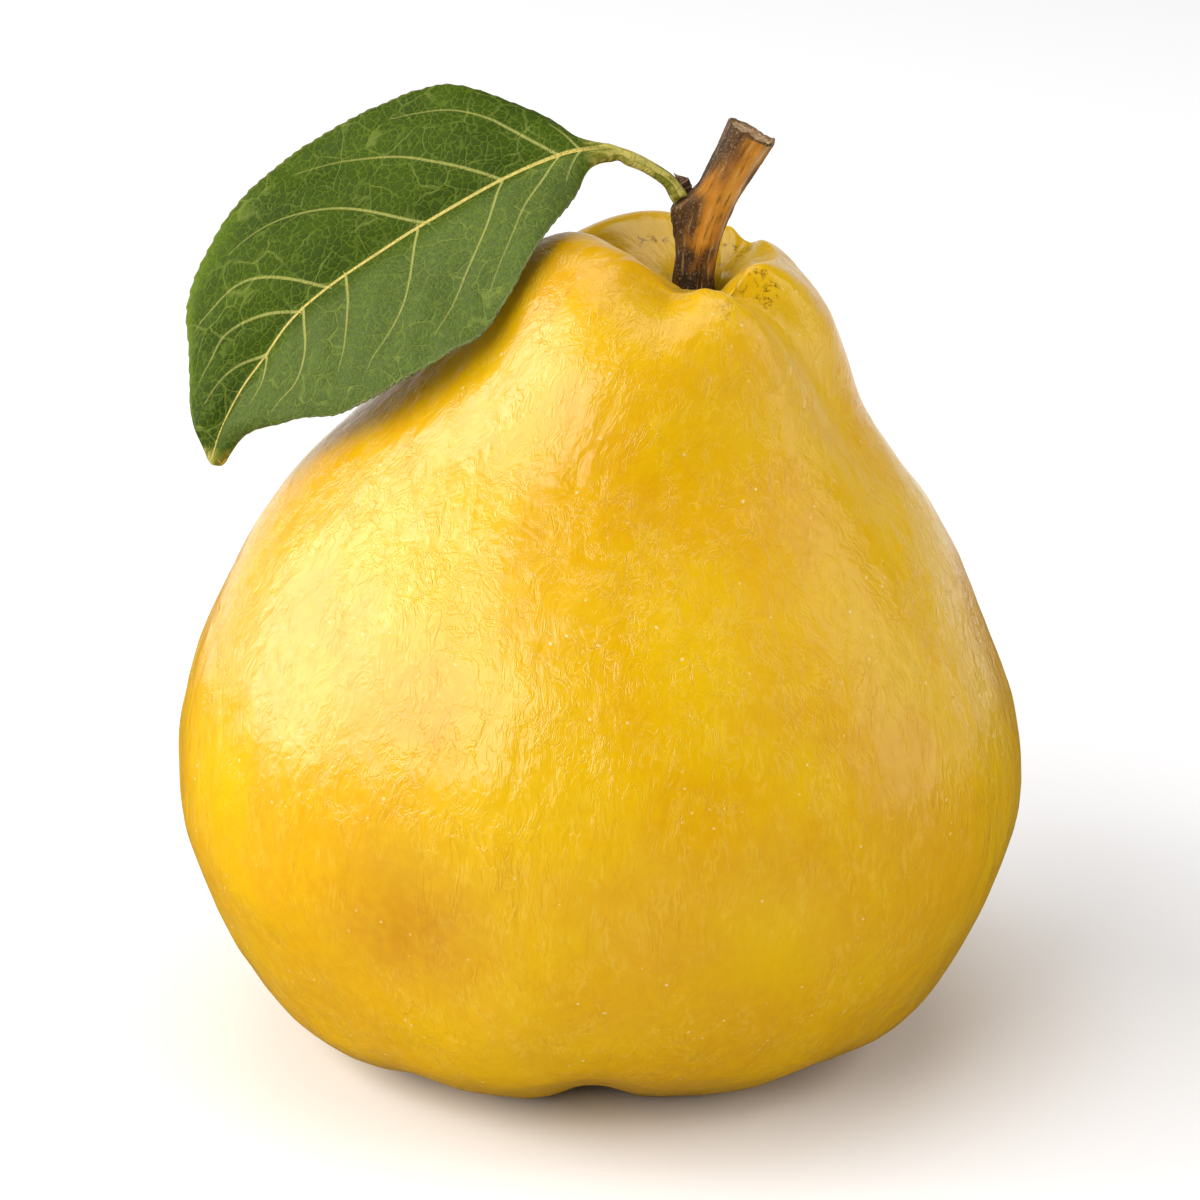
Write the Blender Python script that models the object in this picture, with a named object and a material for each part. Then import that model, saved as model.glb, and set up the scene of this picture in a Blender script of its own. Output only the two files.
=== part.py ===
"""A quince standing on its calyx end, with its stalk, one leaf and its dried calyx.

Metres, +Z up. The origin is on the surface that the fruit stands on, below the middle of its
girth. -Y is the front, and the leaf hangs over the -X shoulder. Angles run round +Z from +X,
so 180 is the leaf's side and 270 is the front.
"""

import math

import bmesh
import bpy
import numpy as np
from mathutils import Vector

MM = 0.001

# Driving dimensions.
GIRTH_RADIUS = 45.0 * MM  # half the width of the belly
CROWN_HEIGHT = 87.0 * MM  # from the resting spots to the top of the neck
NECK_LEAN = 10.0 * MM  # how far the stalk's seat lies towards +X
STALK_RADIUS = 2.2 * MM
PETIOLE_RADIUS = 0.75 * MM
BLADE_HALF_THICKNESS = 0.22 * MM
CALYX_RADIUS = 4.7 * MM  # where the sepals sit, round the open calyx cup

FRUIT_COLUMNS = 64
FRUIT_STEPS = 2  # rows between two outline points
SEPALS = 5
STAMENS = 15
STYLES = 5

# The fruit's outline from the floor of the calyx cup, round the base, belly and neck, down
# to the stalk's seat: shares of GIRTH_RADIUS, of CROWN_HEIGHT and of NECK_LEAN.
FRUIT_OUTLINE = (
    (0.000, 0.155, 0.00), (0.060, 0.153, 0.00), (0.086, 0.137, 0.00), (0.122, 0.126, 0.00),
    (0.184, 0.107, 0.00), (0.255, 0.072, 0.00), (0.335, 0.024, 0.00), (0.440, -0.006, 0.00),
    (0.560, 0.006, 0.00), (0.690, 0.032, 0.00), (0.800, 0.072, 0.00), (0.880, 0.138, 0.00),
    (0.945, 0.213, 0.00), (0.992, 0.288, 0.00), (1.000, 0.352, 0.00), (0.982, 0.425, 0.00),
    (0.938, 0.503, 0.00), (0.870, 0.583, 0.02), (0.775, 0.658, 0.05), (0.664, 0.732, 0.10),
    (0.558, 0.800, 0.21), (0.484, 0.862, 0.39), (0.424, 0.917, 0.54), (0.350, 0.968, 0.66),
    (0.246, 0.998, 0.76), (0.168, 0.979, 0.90), (0.100, 0.952, 0.97), (0.076, 0.926, 1.00),
    (0.072, 0.901, 1.00), (0.000, 0.893, 1.00),
)
BASE_CREST = 7  # the outline's point that touches the surface
CROWN_CREST = 24  # the outline's highest point

# Folds that part the lobes: (angle at the crest, depth, half-width in degrees, reach in
# outline points, degrees that the fold winds round as it leaves the crest).
BASE_FOLDS = (
    (203, 1.7 * MM, 7, 2.6, 0), (231, 1.3 * MM, 7, 2.2, 0), (268, 2.0 * MM, 9, 3.0, 0),
    (312, 1.6 * MM, 8, 2.4, 0), (352, 2.1 * MM, 9, 3.2, 0), (38, 1.5 * MM, 8, 2.6, 0),
    (82, 2.0 * MM, 9, 3.0, 0), (120, 1.4 * MM, 8, 2.4, 0), (160, 1.9 * MM, 9, 2.8, 0),
)
CROWN_FOLDS = (
    (170, 0.9 * MM, 9, 2.2, -6), (296, 3.0 * MM, 13, 4.2, 46), (44, 1.5 * MM, 10, 2.6, 8),
    (70, 0.8 * MM, 9, 2.0, -6), (148, 2.4 * MM, 10, 2.6, 10),
)
# Broad swells and dents: (angle, outline point, degrees round, points along, height).
SWELLS = (
    (250, 22.0, 30, 2.4, 0.9 * MM),
    (190, 20.4, 26, 2.2, 1.0 * MM),
    (180, 18.6, 24, 1.4, 0.6 * MM),
    (5, 23.5, 32, 1.5, -1.9 * MM),
    (342, 18.6, 26, 1.4, 0.5 * MM),
    (350, 16.2, 36, 1.6, -0.9 * MM),
    (285, 19.4, 26, 1.6, -1.0 * MM),
    (247, 13.0, 16, 1.2, -1.6 * MM),
    (226, 11.0, 12, 1.2, -0.9 * MM),
    (258, 10.6, 14, 1.2, 0.8 * MM),
    (270, 9.7, 34, 1.6, -2.3 * MM),
    (200, 9.6, 24, 1.6, 0.5 * MM),
    (60, 19.5, 34, 2.0, -1.0 * MM),
    (110, 14.0, 40, 2.4, 0.6 * MM),
    (30, 12.0, 24, 1.6, -0.9 * MM),
    (206, 23.7, 37, 1.4, 2.4 * MM), (268, 24.0, 17, 1.3, -2.9 * MM), (104, 24.0, 26, 1.2, 0.6 * MM),
    (0, 25.7, 40, 0.7, 1.0 * MM), (156, 24.1, 24, 1.4, -1.7 * MM),
)
# Past the crest the crown folds fade within this many points, so the hollow stays open round the stalk.
HOLLOW_REACH = 1.4


def through(points, steps):
    """Rows of a smooth curve through the given rows, with this many steps from each to the next."""
    rows = np.asarray(points, float)
    before = np.vstack([2 * rows[0] - rows[1], rows, 2 * rows[-1] - rows[-2]])
    curve = []
    for i in range(len(rows) - 1):
        a, b, c, d = before[i : i + 4]
        for t in np.arange(steps) / steps:
            curve.append(
                b
                + 0.5 * t * (c - a)
                + t * t * (a - 2.5 * b + 2 * c - 0.5 * d)
                + t**3 * (1.5 * (b - c) + 0.5 * (d - a))
            )
    return np.array(curve + [rows[-1]])


def bell(distance):
    """1 at no distance, falling smoothly to 0 by about 2."""
    return np.exp(-distance * distance)


def turn_between(angle, other):
    """Degrees from one angle to another, the short way, never negative."""
    return np.abs((angle - other + 180) % 360 - 180)


def smooth_step(value):
    t = np.clip(value, 0, 1)
    return t * t * (3 - 2 * t)


def relief(angle, place):
    """How far the skin stands out from the turned outline. place counts outline points."""
    height = np.zeros(np.broadcast(angle, place).shape)
    for folds, crest in ((BASE_FOLDS, BASE_CREST), (CROWN_FOLDS, CROWN_CREST)):
        for at, depth, width, reach, winding in folds:
            away = np.maximum(crest - place, 0)
            line = at + winding * (1 - np.exp(-away / 1.6))
            spread = np.where(place > CROWN_CREST, min(reach, HOLLOW_REACH), reach)
            height -= depth * bell(turn_between(angle, line) / width) * bell((place - crest) / spread)
    for at, point, around, along, amount in SWELLS:
        height += amount * bell(turn_between(angle, at) / around) * bell((place - point) / along)
    return height


def fruit_surface(columns, steps):
    """Rows of points over the whole fruit, from the calyx cup to the stalk's seat."""
    outline = through(FRUIT_OUTLINE, steps) * (GIRTH_RADIUS, CROWN_HEIGHT, NECK_LEAN)
    tangent = np.gradient(outline[:, :2], axis=0)
    outward = np.stack([tangent[:, 1], -tangent[:, 0]], axis=1)
    outward /= np.linalg.norm(outward, axis=1)[:, None]
    place = (np.arange(len(outline)) / steps)[:, None]
    angle = (np.arange(columns) * 360 / columns)[None, :]
    fade = smooth_step(outline[:, :1] / (0.09 * GIRTH_RADIUS))
    height = relief(angle, place) * fade
    radius = outline[:, :1] + outward[:, :1] * height
    z = outline[:, 1:2] + outward[:, 1:] * height
    turn = np.radians(angle)
    points = np.stack([outline[:, 2:] + radius * np.cos(turn), radius * np.sin(turn), z], axis=2)
    points[..., 2] = np.maximum(points[..., 2], 0)  # the lobes are pressed flat where they rest
    return points


def skin_between(mesh, lower, upper):
    """Faces between two rings of vertices. A ring of one vertex is a tip."""
    count = max(len(lower), len(upper))
    for i in range(count):
        j = (i + 1) % count
        corners = (
            lower[i % len(lower)],
            lower[j % len(lower)],
            upper[j % len(upper)],
            upper[i % len(upper)],
        )
        mesh.faces.new(tuple(dict.fromkeys(corners)))


def loft(name, rings, material):
    """One closed object through rings of points. It is capped where its first or last ring isn't a tip."""
    mesh = bmesh.new()
    loops = [[mesh.verts.new(Vector(point)) for point in ring] for ring in rings]
    for lower, upper in zip(loops, loops[1:]):
        skin_between(mesh, lower, upper)
    for end in (loops[0], loops[-1]):
        if len(end) > 1:
            mesh.faces.new(end)
    bmesh.ops.recalc_face_normals(mesh, faces=mesh.faces)
    data = bpy.data.meshes.new(name)
    mesh.to_mesh(data)
    mesh.free()
    data.shade_smooth()
    data.set_sharp_from_angle(angle=math.radians(50))
    data.materials.append(material)
    piece = bpy.data.objects.new(name, data)
    bpy.context.scene.collection.objects.link(piece)
    return piece


def finish(name, colour, roughness):
    material = bpy.data.materials.new(name)
    material.use_nodes = True
    shader = material.node_tree.nodes["Principled BSDF"]
    shader.inputs["Base Color"].default_value = (*colour, 1)
    shader.inputs["Roughness"].default_value = roughness
    shader.inputs["Metallic"].default_value = 0
    material.diffuse_color = (*colour, 1)
    return material


def ring_round(centre, along, radius, side, sides):
    """A ring of points round a line. radius is one number or one per point, side is where point 0 lies."""
    along = Vector(along).normalized()
    first = (Vector(side) - Vector(side).dot(along) * along).normalized()
    second = along.cross(first)
    turns = np.arange(sides) * 2 * math.pi / sides
    radii = np.broadcast_to(radius, sides)
    return [
        Vector(centre) + float(r) * (math.cos(a) * first + math.sin(a) * second)
        for a, r in zip(turns, radii)
    ]


def tube(name, path, radii, sides, material, side=(0, 0, 1)):
    """A round solid along a path of points, with one radius at each point."""
    path = np.asarray(path, float)
    along = np.gradient(path, axis=0)
    rings = [
        ring_round(centre, direction, radius, side, sides)
        for centre, direction, radius in zip(path, along, radii)
    ]
    return loft(name, rings, material)


def make_fruit(material):
    surface = fruit_surface(FRUIT_COLUMNS, FRUIT_STEPS)
    rings = [surface[0, :1], *surface[1:-1], surface[-1, :1]]
    return loft("fruit", rings, material)


# The stalk's middle line from its seat to the cut end, and its radius in shares of STALK_RADIUS.
STALK_LINE = np.array([
    (9.9, 0.0, 78.7), (9.7, 0.0, 80.5), (9.7, 0.0, 83.4), (10.4, 0.0, 87.5),
    (12.1, 0.0, 92.1), (13.9, 0.1, 95.7), (15.3, 0.1, 98.4),
]) * MM
STALK_SWELL = (1.10, 1.03, 0.98, 0.96, 1.00, 1.06, 1.20)
STALK_SIDES = 20
STALK_STEPS = 4
# The cushion on the stalk's -X side that the leaf grows from. It stands out along CUSHION_PUSH.
CUSHION_TOP = 92.6 * MM
CUSHION_LENGTH = 6.5 * MM
CUSHION_LIP = 1.0 * MM
CUSHION_PUSH = np.array([-2.7, -0.4, -0.9]) * MM
CUSHION_TURN = 190


def stalk_ring(centre, direction, share):
    """A ring of the stalk: slightly ridged, and pushed out where the leaf's cushion is."""
    angle = np.arange(STALK_SIDES) * 360 / STALK_SIDES
    ridge = 0.05 * np.cos(3 * np.radians(angle) + centre[2] / (4 * MM))
    ridge += 0.03 * np.cos(5 * np.radians(angle))
    ring = np.array(ring_round(centre, direction, STALK_RADIUS * (share + ridge), (1, 0, 0), STALK_SIDES))
    below = CUSHION_TOP - ring[:, 2]
    cushion = smooth_step(1 - below / CUSHION_LENGTH) * smooth_step(below / CUSHION_LIP)
    cushion *= bell(turn_between(angle, CUSHION_TURN) / 45)
    return ring + cushion[:, None] * CUSHION_PUSH


def make_stalk(material):
    line = through(STALK_LINE, STALK_STEPS)
    swell = through(np.array(STALK_SWELL)[:, None], STALK_STEPS)[:, 0]
    along = np.gradient(line, axis=0)
    return loft("stalk", [stalk_ring(*row) for row in zip(line, along, swell)], material)


# The leaf from its foot on the cushion to its tip: the midrib, the far margin and
# the near margin, and half the thickness at the midrib. The first rows are the petiole.
PETIOLE_LINE = np.array([
    (8.05, -0.5, 92.1), (7.0, -0.4, 93.6), (4.9, -0.2, 95.0), (3.1, 0.0, 95.8),
]) * MM
MIDRIB = np.array([
    (1.6, 0.2, 96.3), (-1.2, 0.6, 96.1), (-4.4, 1.2, 95.4), (-10.2, 2.2, 92.6),
    (-17.8, 3.0, 88.0), (-22.7, 3.4, 84.7), (-28.1, 3.5, 80.9), (-32.0, 3.4, 77.4),
    (-34.9, 3.0, 73.4), (-37.3, 2.4, 70.1), (-39.3, 1.8, 66.1), (-40.4, 1.2, 61.8),
]) * MM
FAR_MARGIN = np.array([
    (1.6, 1.0, 96.4), (-2.4, 2.5, 97.3), (-5.8, 6.5, 98.5), (-15.8, 12.0, 100.4),
    (-25.0, 15.0, 96.4), (-31.2, 16.2, 92.6), (-36.7, 15.8, 88.2), (-40.9, 14.2, 82.9),
    (-43.5, 11.5, 77.1), (-43.3, 8.6, 71.7), (-42.8, 5.0, 66.3), (-40.4, 1.2, 61.8),
]) * MM
NEAR_MARGIN = np.array([
    (1.6, -0.6, 96.2), (-1.1, -1.6, 95.1), (-2.8, -5.0, 92.2), (-6.4, -10.4, 88.8),
    (-11.2, -13.6, 81.3), (-14.9, -14.0, 79.0), (-20.0, -12.8, 75.6), (-23.0, -11.4, 73.4),
    (-26.7, -9.2, 71.0), (-31.1, -6.6, 69.7), (-36.4, -2.4, 66.8), (-40.4, 1.2, 61.8),
]) * MM
MIDRIB_HALF_THICKNESS = np.array([
    0.62, 0.60, 0.58, 0.54, 0.50, 0.46, 0.42, 0.38, 0.34, 0.30, 0.26, 0.20,
]) * MM
CAMBER = 1.2 * MM  # how far each half of the blade arches up between midrib and margin
LEAF_SIDES = 20
LEAF_STEPS = 3


def leaf_rings(sides, steps):
    """Rings of points round the leaf, from the petiole's foot to the ring before the tip."""
    petiole_side = np.array([0, PETIOLE_RADIUS, 0])
    rows = np.hstack([
        np.vstack([PETIOLE_LINE, MIDRIB]),
        np.vstack([PETIOLE_LINE + petiole_side, FAR_MARGIN]),
        np.vstack([PETIOLE_LINE - petiole_side, NEAR_MARGIN]),
        np.concatenate([[PETIOLE_RADIUS * 1.15, *[PETIOLE_RADIUS] * 3], MIDRIB_HALF_THICKNESS])[:, None],
    ])
    rows = through(rows, steps)[:-1]
    along = np.gradient(rows[:, :3], axis=0)
    turn = np.arange(sides) * 2 * math.pi / sides
    rings = []
    for row, direction in zip(rows, along):
        midrib, far, near, rib = row[:3], row[3:6], row[6:9], row[9]
        width = np.linalg.norm(far - near) / 2
        up = np.cross(far - near, direction)
        up *= math.copysign(1, up[2]) / np.linalg.norm(up)
        blade = smooth_step((width - PETIOLE_RADIUS) / (6 * MM))
        ring = []
        for a in turn:
            v = math.cos(a)
            margin = far if v > 0 else near
            arch = CAMBER * blade * 4 * abs(v) * (1 - abs(v))
            body = rib * bell(abs(v) * width / (1.1 * MM)) * blade + rib * (1 - blade)
            half = body + BLADE_HALF_THICKNESS * blade
            ring.append(midrib + abs(v) * (margin - midrib) + up * (arch + half * math.sin(a)))
        rings.append(ring)
    return rings


def make_leaf(material):
    return loft("leaf", [*leaf_rings(LEAF_SIDES, LEAF_STEPS), MIDRIB[-1:]], material)


def make_bud(material):
    """The small scaly bud between the petiole and the stalk."""
    line = through(np.array([(9.0, 0.75, 92.6), (8.4, 0.9, 93.5), (7.4, 1.0, 94.6)]) * MM, 3)
    radii = np.array([0.34, 0.46, 0.50, 0.46, 0.36, 0.24, 0.1]) * MM
    return tube("axillary_bud", line, radii, 8, material, side=(0, 1, 0))


def place_round(angle, radius, z):
    turn = math.radians(angle)
    return Vector((radius * math.cos(turn), radius * math.sin(turn), z))


# Each sepal as (angle, how far its tip spreads, twist in degrees).
SEPAL_SET = ((18, 1.0, 8), (88, 0.82, -14), (163, 1.06, 10), (232, 0.9, -6), (305, 0.96, 16))
SEPAL_LINE = ((0.0, 10.1), (2.2, 8.6), (4.0, 6.3), (5.2, 4.1), (6.2, 2.5))
SEPAL_WIDTH = (1.9, 2.5, 2.3, 1.4, 0.3)
SEPAL_HALF_THICKNESS = 0.28 * MM


def make_sepal(number, material):
    angle, spread, twist = SEPAL_SET[number]
    rows = through(np.column_stack([SEPAL_LINE, SEPAL_WIDTH]), 2) * MM
    line = [place_round(angle, CALYX_RADIUS + out * spread, z) for out, z, _ in rows]
    along = np.gradient(np.array(line), axis=0)
    rings = []
    for i, (centre, direction) in enumerate(zip(line, along)):
        turned = math.radians(angle + 90 + twist * i / len(line))
        across = Vector((math.cos(turned), math.sin(turned), 0))
        face = Vector(direction).normalized().cross(across)
        ring = []
        for k in range(10):
            a = k * math.pi / 5
            sideways, cup = math.cos(a), 0.25 * rows[i][2] * math.cos(a) ** 2
            ring.append(
                centre + across * rows[i][2] * sideways
                + face * (SEPAL_HALF_THICKNESS * math.sin(a) + cup)
            )
        rings.append(ring)
    return loft(f"sepal_{number + 1}", rings, material)


def make_stamen(number, material):
    """A withered stamen: a crooked thread with a small anther on its end."""
    angle = number * 360 / STAMENS + 7 * math.sin(2.7 * number)
    reach = 1.3 + 0.6 * math.sin(1.9 * number)
    bend = 16 * math.sin(3.1 * number)
    length = 3.6 + 0.9 * math.cos(1.3 * number)
    line = [
        place_round(angle, 2.5 * MM, 12.7 * MM),
        place_round(angle + 0.4 * bend, (2.4 + 0.25 * reach) * MM, (12.7 - 0.5 * length) * MM),
        place_round(angle + bend, (2.5 + 0.7 * reach) * MM, (12.7 - length) * MM),
    ]
    radii = np.array([0.16, 0.15, 0.14, 0.14, 0.20, 0.30, 0.16]) * MM
    return tube(f"stamen_{number + 1:02d}", through(line, 3), radii, 6, material, side=(1, 0, 0))


def make_style(number, material):
    angle = number * 360 / STYLES + 30
    line = [
        place_round(angle, 0.75 * MM, 12.9 * MM),
        place_round(angle, 0.8 * MM, 11.0 * MM),
        place_round(angle + 10, 1.2 * MM, 9.4 * MM),
    ]
    radii = np.array([0.26, 0.22, 0.18, 0.26]) * MM
    path = through(line, 3)[::2]
    return tube(f"style_{number + 1}", path, radii, 6, material, side=(1, 0, 0))


def main():
    for old in list(bpy.data.objects):
        bpy.data.objects.remove(old)
    skin = finish("quince_skin", (0.86, 0.56, 0.045), 0.42)
    bark = finish("stalk_bark", (0.33, 0.16, 0.045), 0.75)
    green = finish("leaf_green", (0.10, 0.16, 0.035), 0.5)
    bud_scale = finish("bud_scale", (0.09, 0.045, 0.02), 0.7)
    dried = finish("dried_calyx", (0.14, 0.085, 0.045), 0.85)
    make_fruit(skin)
    make_stalk(bark)
    make_leaf(green)
    make_bud(bud_scale)
    for number in range(SEPALS):
        make_sepal(number, dried)
    for number in range(STAMENS):
        make_stamen(number, dried)
    for number in range(STYLES):
        make_style(number, dried)


main()
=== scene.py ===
# %% [markdown]
# # A quince, grown from an outline
# A quince is a pear's lumpy cousin: a broad belly on a lobed base, a crooked neck with a hollow
# for the stalk, and a thin pale down over a satin yellow skin. This file dresses a plain solid
# model of one. Each piece keeps the place that the solid gives it and gets its fine shape from
# a formula and its finish from shader nodes.

# %% Load the plain model
import math

import bmesh
import bpy
import numpy as np
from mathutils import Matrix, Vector, noise


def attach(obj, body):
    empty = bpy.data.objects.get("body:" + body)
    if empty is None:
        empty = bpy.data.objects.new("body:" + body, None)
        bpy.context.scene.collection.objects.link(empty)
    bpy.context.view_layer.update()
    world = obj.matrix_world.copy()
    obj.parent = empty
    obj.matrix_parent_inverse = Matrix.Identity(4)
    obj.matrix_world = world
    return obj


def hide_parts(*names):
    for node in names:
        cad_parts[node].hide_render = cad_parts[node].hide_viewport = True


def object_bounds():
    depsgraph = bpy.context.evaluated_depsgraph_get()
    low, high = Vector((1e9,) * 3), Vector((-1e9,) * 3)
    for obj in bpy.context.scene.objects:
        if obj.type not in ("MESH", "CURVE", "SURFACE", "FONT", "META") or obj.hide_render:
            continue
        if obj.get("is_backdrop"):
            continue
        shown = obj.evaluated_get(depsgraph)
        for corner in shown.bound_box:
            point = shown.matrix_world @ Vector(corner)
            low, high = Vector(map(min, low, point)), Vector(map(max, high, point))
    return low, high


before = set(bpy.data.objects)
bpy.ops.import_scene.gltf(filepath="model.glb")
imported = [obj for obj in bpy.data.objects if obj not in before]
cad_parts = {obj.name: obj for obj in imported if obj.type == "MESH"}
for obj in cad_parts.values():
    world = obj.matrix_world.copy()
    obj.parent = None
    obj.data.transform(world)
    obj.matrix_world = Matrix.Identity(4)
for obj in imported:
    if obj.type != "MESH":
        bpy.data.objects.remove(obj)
cad_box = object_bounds()
MM = 0.001
plain_size = [round(v / MM, 1) for v in cad_box[1] - cad_box[0]]
print("plain pieces:", len(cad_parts), "in a box of", plain_size, "mm")

# %% [markdown]
# ## The camera
# The fruit is seen from a little above, as on a table, with a long lens that keeps its sides
# parallel. The lens follows from the width to be seen and the distance, so both are stated and
# the focal length is worked out.

# %% Camera
SEEN_WIDTH = 127 * MM
SENSOR_WIDTH = 36
CAMERA_DISTANCE = 0.5
CAMERA_PITCH = math.radians(20)
AIM = Vector((0, 0, 47.7 * MM))
toward_camera = Vector((0, -math.cos(CAMERA_PITCH), math.sin(CAMERA_PITCH)))
camera = bpy.data.objects.new("camera", bpy.data.cameras.new("camera"))
bpy.context.scene.collection.objects.link(camera)
camera.location = AIM + CAMERA_DISTANCE * toward_camera
camera.rotation_euler = (math.pi / 2 - CAMERA_PITCH, 0, 0)
camera.data.sensor_width = SENSOR_WIDTH
camera.data.lens = SENSOR_WIDTH * CAMERA_DISTANCE / SEEN_WIDTH
camera.data.clip_start = 10 * MM
bpy.context.scene.camera = camera
print("lens:", round(camera.data.lens), "mm, looking down by", round(math.degrees(CAMERA_PITCH)), "degrees")

# %% [markdown]
# ## Small tools for shape
# Everything here is drawn with a few curves. `through` bends a smooth curve through a handful
# of points. `bell` and `smooth_step` fade things in and out, and `facing` fades round a ring.
# `roughly` is a cloud of soft random numbers, always the same ones, for whatever grew unevenly.

# %% A smooth curve
def through(points, steps):
    """Rows of a smooth curve through the given rows, with this many steps from each to the next."""
    rows = np.asarray(points, float)
    before = np.vstack([2 * rows[0] - rows[1], rows, 2 * rows[-1] - rows[-2]])
    curve = []
    for i in range(len(rows) - 1):
        a, b, c, d = before[i : i + 4]
        for t in np.arange(steps) / steps:
            curve.append(
                b
                + 0.5 * t * (c - a)
                + t * t * (a - 2.5 * b + 2 * c - 0.5 * d)
                + t**3 * (1.5 * (b - c) + 0.5 * (d - a))
            )
    return np.array(curve + [rows[-1]])


print("points on a curve through 3 points in 4 steps:", len(through([(0, 0), (1, 1), (2, 0)], 4)))

# %% Fades and unevenness
def bell(distance):
    """1 at no distance, falling smoothly to 0 by about 2."""
    return np.exp(-distance * distance)


def smooth_step(value):
    """0 up to 0 and 1 from 1 on, with a soft start and end between."""
    t = np.clip(value, 0, 1)
    return t * t * (3 - 2 * t)


def turn_between(angle, other):
    """Degrees from one angle to another, the short way, never negative."""
    return np.abs((angle - other + 180) % 360 - 180)


def facing(degrees, at, reach):
    """1 where a ring faces this angle, falling smoothly to 0 by about twice the reach."""
    return bell(turn_between(degrees, at) / reach)


def roughly(points, size, detail=2):
    """A soft random number from about -1 to 1 at each point, with bumps of about this size."""
    flat = np.asarray(points, float).reshape(-1, 3) / size
    values = [noise.fractal(Vector(p), 1.0, 2.0, detail) for p in flat]
    return np.array(values).reshape(np.shape(points)[:-1])


def unit(vectors):
    """The same directions, each with a length of 1."""
    return vectors / np.linalg.norm(vectors, axis=-1, keepdims=True)


print("bell at 0, 1 and 2:", bell(np.arange(3)).round(2), "smooth step at a quarter:", smooth_step(0.25))

# %% [markdown]
# ## From rings of points to a piece
# Every piece here closes round on itself: the fruit, the stalk, even the leaf, which has an
# upper and a lower side. So one tool makes them all. It joins rings of points with four-sided
# faces and closes each end with a fan of triangles round one middle point, which leaves no
# hole and no stray edge. `keep` stores a number or a direction at every point, for the shader
# to read as an attribute.

# %% Faces and kept values
def ring_faces(rows, columns):
    """Four-sided faces between rings, then a fan at each end round one of the last two points."""
    i, j = np.meshgrid(np.arange(rows - 1), np.arange(columns), indexing="ij")
    here, beside = i * columns + j, i * columns + (j + 1) % columns
    faces = np.stack([here, beside, beside + columns, here + columns], axis=-1).reshape(-1, 4).tolist()
    for ring, middle in ((0, rows * columns), (rows - 1, rows * columns + 1)):
        first = ring * columns
        faces += [[first + k, first + (k + 1) % columns, middle] for k in range(columns)]
    return faces


def keep(mesh, name, values):
    """Stores values at the points of a mesh of rings. The end middles get their ring's mean."""
    values = np.asarray(values, float)
    size = values.shape[2] if values.ndim == 3 else 1
    flat = values.reshape(-1, size)
    ends = np.stack([values[0].reshape(-1, size).mean(0), values[-1].reshape(-1, size).mean(0)])
    kind, field = ("FLOAT_VECTOR", "vector") if size == 3 else ("FLOAT", "value")
    layer = mesh.attributes.new(name, kind, "POINT")
    layer.data.foreach_set(field, np.vstack([flat, ends]).ravel())


print("faces of 3 rings of 4 points:", len(ring_faces(3, 4)))

# %% One closed piece
def outward_faces(mesh):
    """Turns every face of a closed mesh to look outwards."""
    turned = bmesh.new()
    turned.from_mesh(mesh)
    bmesh.ops.recalc_face_normals(turned, faces=turned.faces)
    turned.to_mesh(mesh)
    turned.free()


def closed_piece(name, rings, material, slot, node, **kept):
    """A closed object through rings of points, riding on the frame in place of a plain node."""
    rings = np.asarray(rings, float)
    middles = np.stack([rings[0].mean(0), rings[-1].mean(0)])
    corners = np.vstack([rings.reshape(-1, 3), middles])
    mesh = bpy.data.meshes.new(name)
    mesh.from_pydata(corners.tolist(), [], ring_faces(*rings.shape[:2]))
    outward_faces(mesh)
    for key, values in kept.items():
        keep(mesh, key, values)
    mesh.shade_smooth()
    mesh.materials.append(material)
    piece = bpy.data.objects.new(name, mesh)
    bpy.context.scene.collection.objects.link(piece)
    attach(piece, "root")
    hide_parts(node)
    print(name, "-", len(mesh.polygons), "faces")


# %% [markdown]
# ## Small tools for finishes
# A finish is a graph of shader nodes. Written out in full, each node takes three or four lines,
# so these helpers name the few kinds that the finishes below use: noise, cells, a fade between
# two values, a blend of two colours, a sum. Colours are given as they look on a screen, from 0
# to 255, and turned into the linear numbers that light adds up in. What is the same all over a
# surface, such as its sheen, goes straight onto the shader's own sockets.

# %% Colours
def colour(red, green, blue):
    """A colour as seen on a screen, as linear red, green, blue and opacity."""
    parts = [v / 255 for v in (red, green, blue)]
    return (*[v / 12.92 if v <= 0.04045 else ((v + 0.055) / 1.055) ** 2.4 for v in parts], 1)


print("middle grey as light:", round(colour(128, 128, 128)[0], 3))

# %% A material under construction
class Finish:
    """A material under construction. Most methods add a node and give back its output."""

    def __init__(self, name, even):
        """even gives what is the same all over, by the names of the shader's own sockets."""
        self.material = bpy.data.materials.new(name)
        self.material.use_nodes = True
        self.tree = self.material.node_tree
        self.shader = self.tree.nodes["Principled BSDF"]
        for socket, value in even.items():
            self.shader.inputs[socket].default_value = value

    def node(self, kind, sockets, **settings):
        """A node with its sockets fed and its settings made."""
        made = self.tree.nodes.new(kind)
        for key, value in settings.items():
            setattr(made, key, value)
        for key, value in sockets.items():
            self.feed(made.inputs[key], value)
        return made

    def feed(self, socket, value):
        """Links a socket to another node's output, or sets it to a plain value."""
        if isinstance(value, bpy.types.NodeSocket):
            self.tree.links.new(value, socket)
        else:
            socket.default_value = value

    def done(self, base, roughness=None, normal=None):
        """Joins colour, roughness and relief to the shader, and gives back the material."""
        for socket, value in (("Base Color", base), ("Roughness", roughness), ("Normal", normal)):
            if value is not None:
                self.feed(self.shader.inputs[socket], value)
        print("finish", self.material.name, "-", len(self.tree.nodes), "nodes")
        return self.material


# %% [markdown]
# Patterns come next. Each one starts from a position: `place` is the point in space, and a
# position kept with the mesh can follow the surface instead, so that a pattern runs along a
# leaf or a twig. `stretch` and `pushed` bend that position, and the pattern bends with it.

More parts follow.
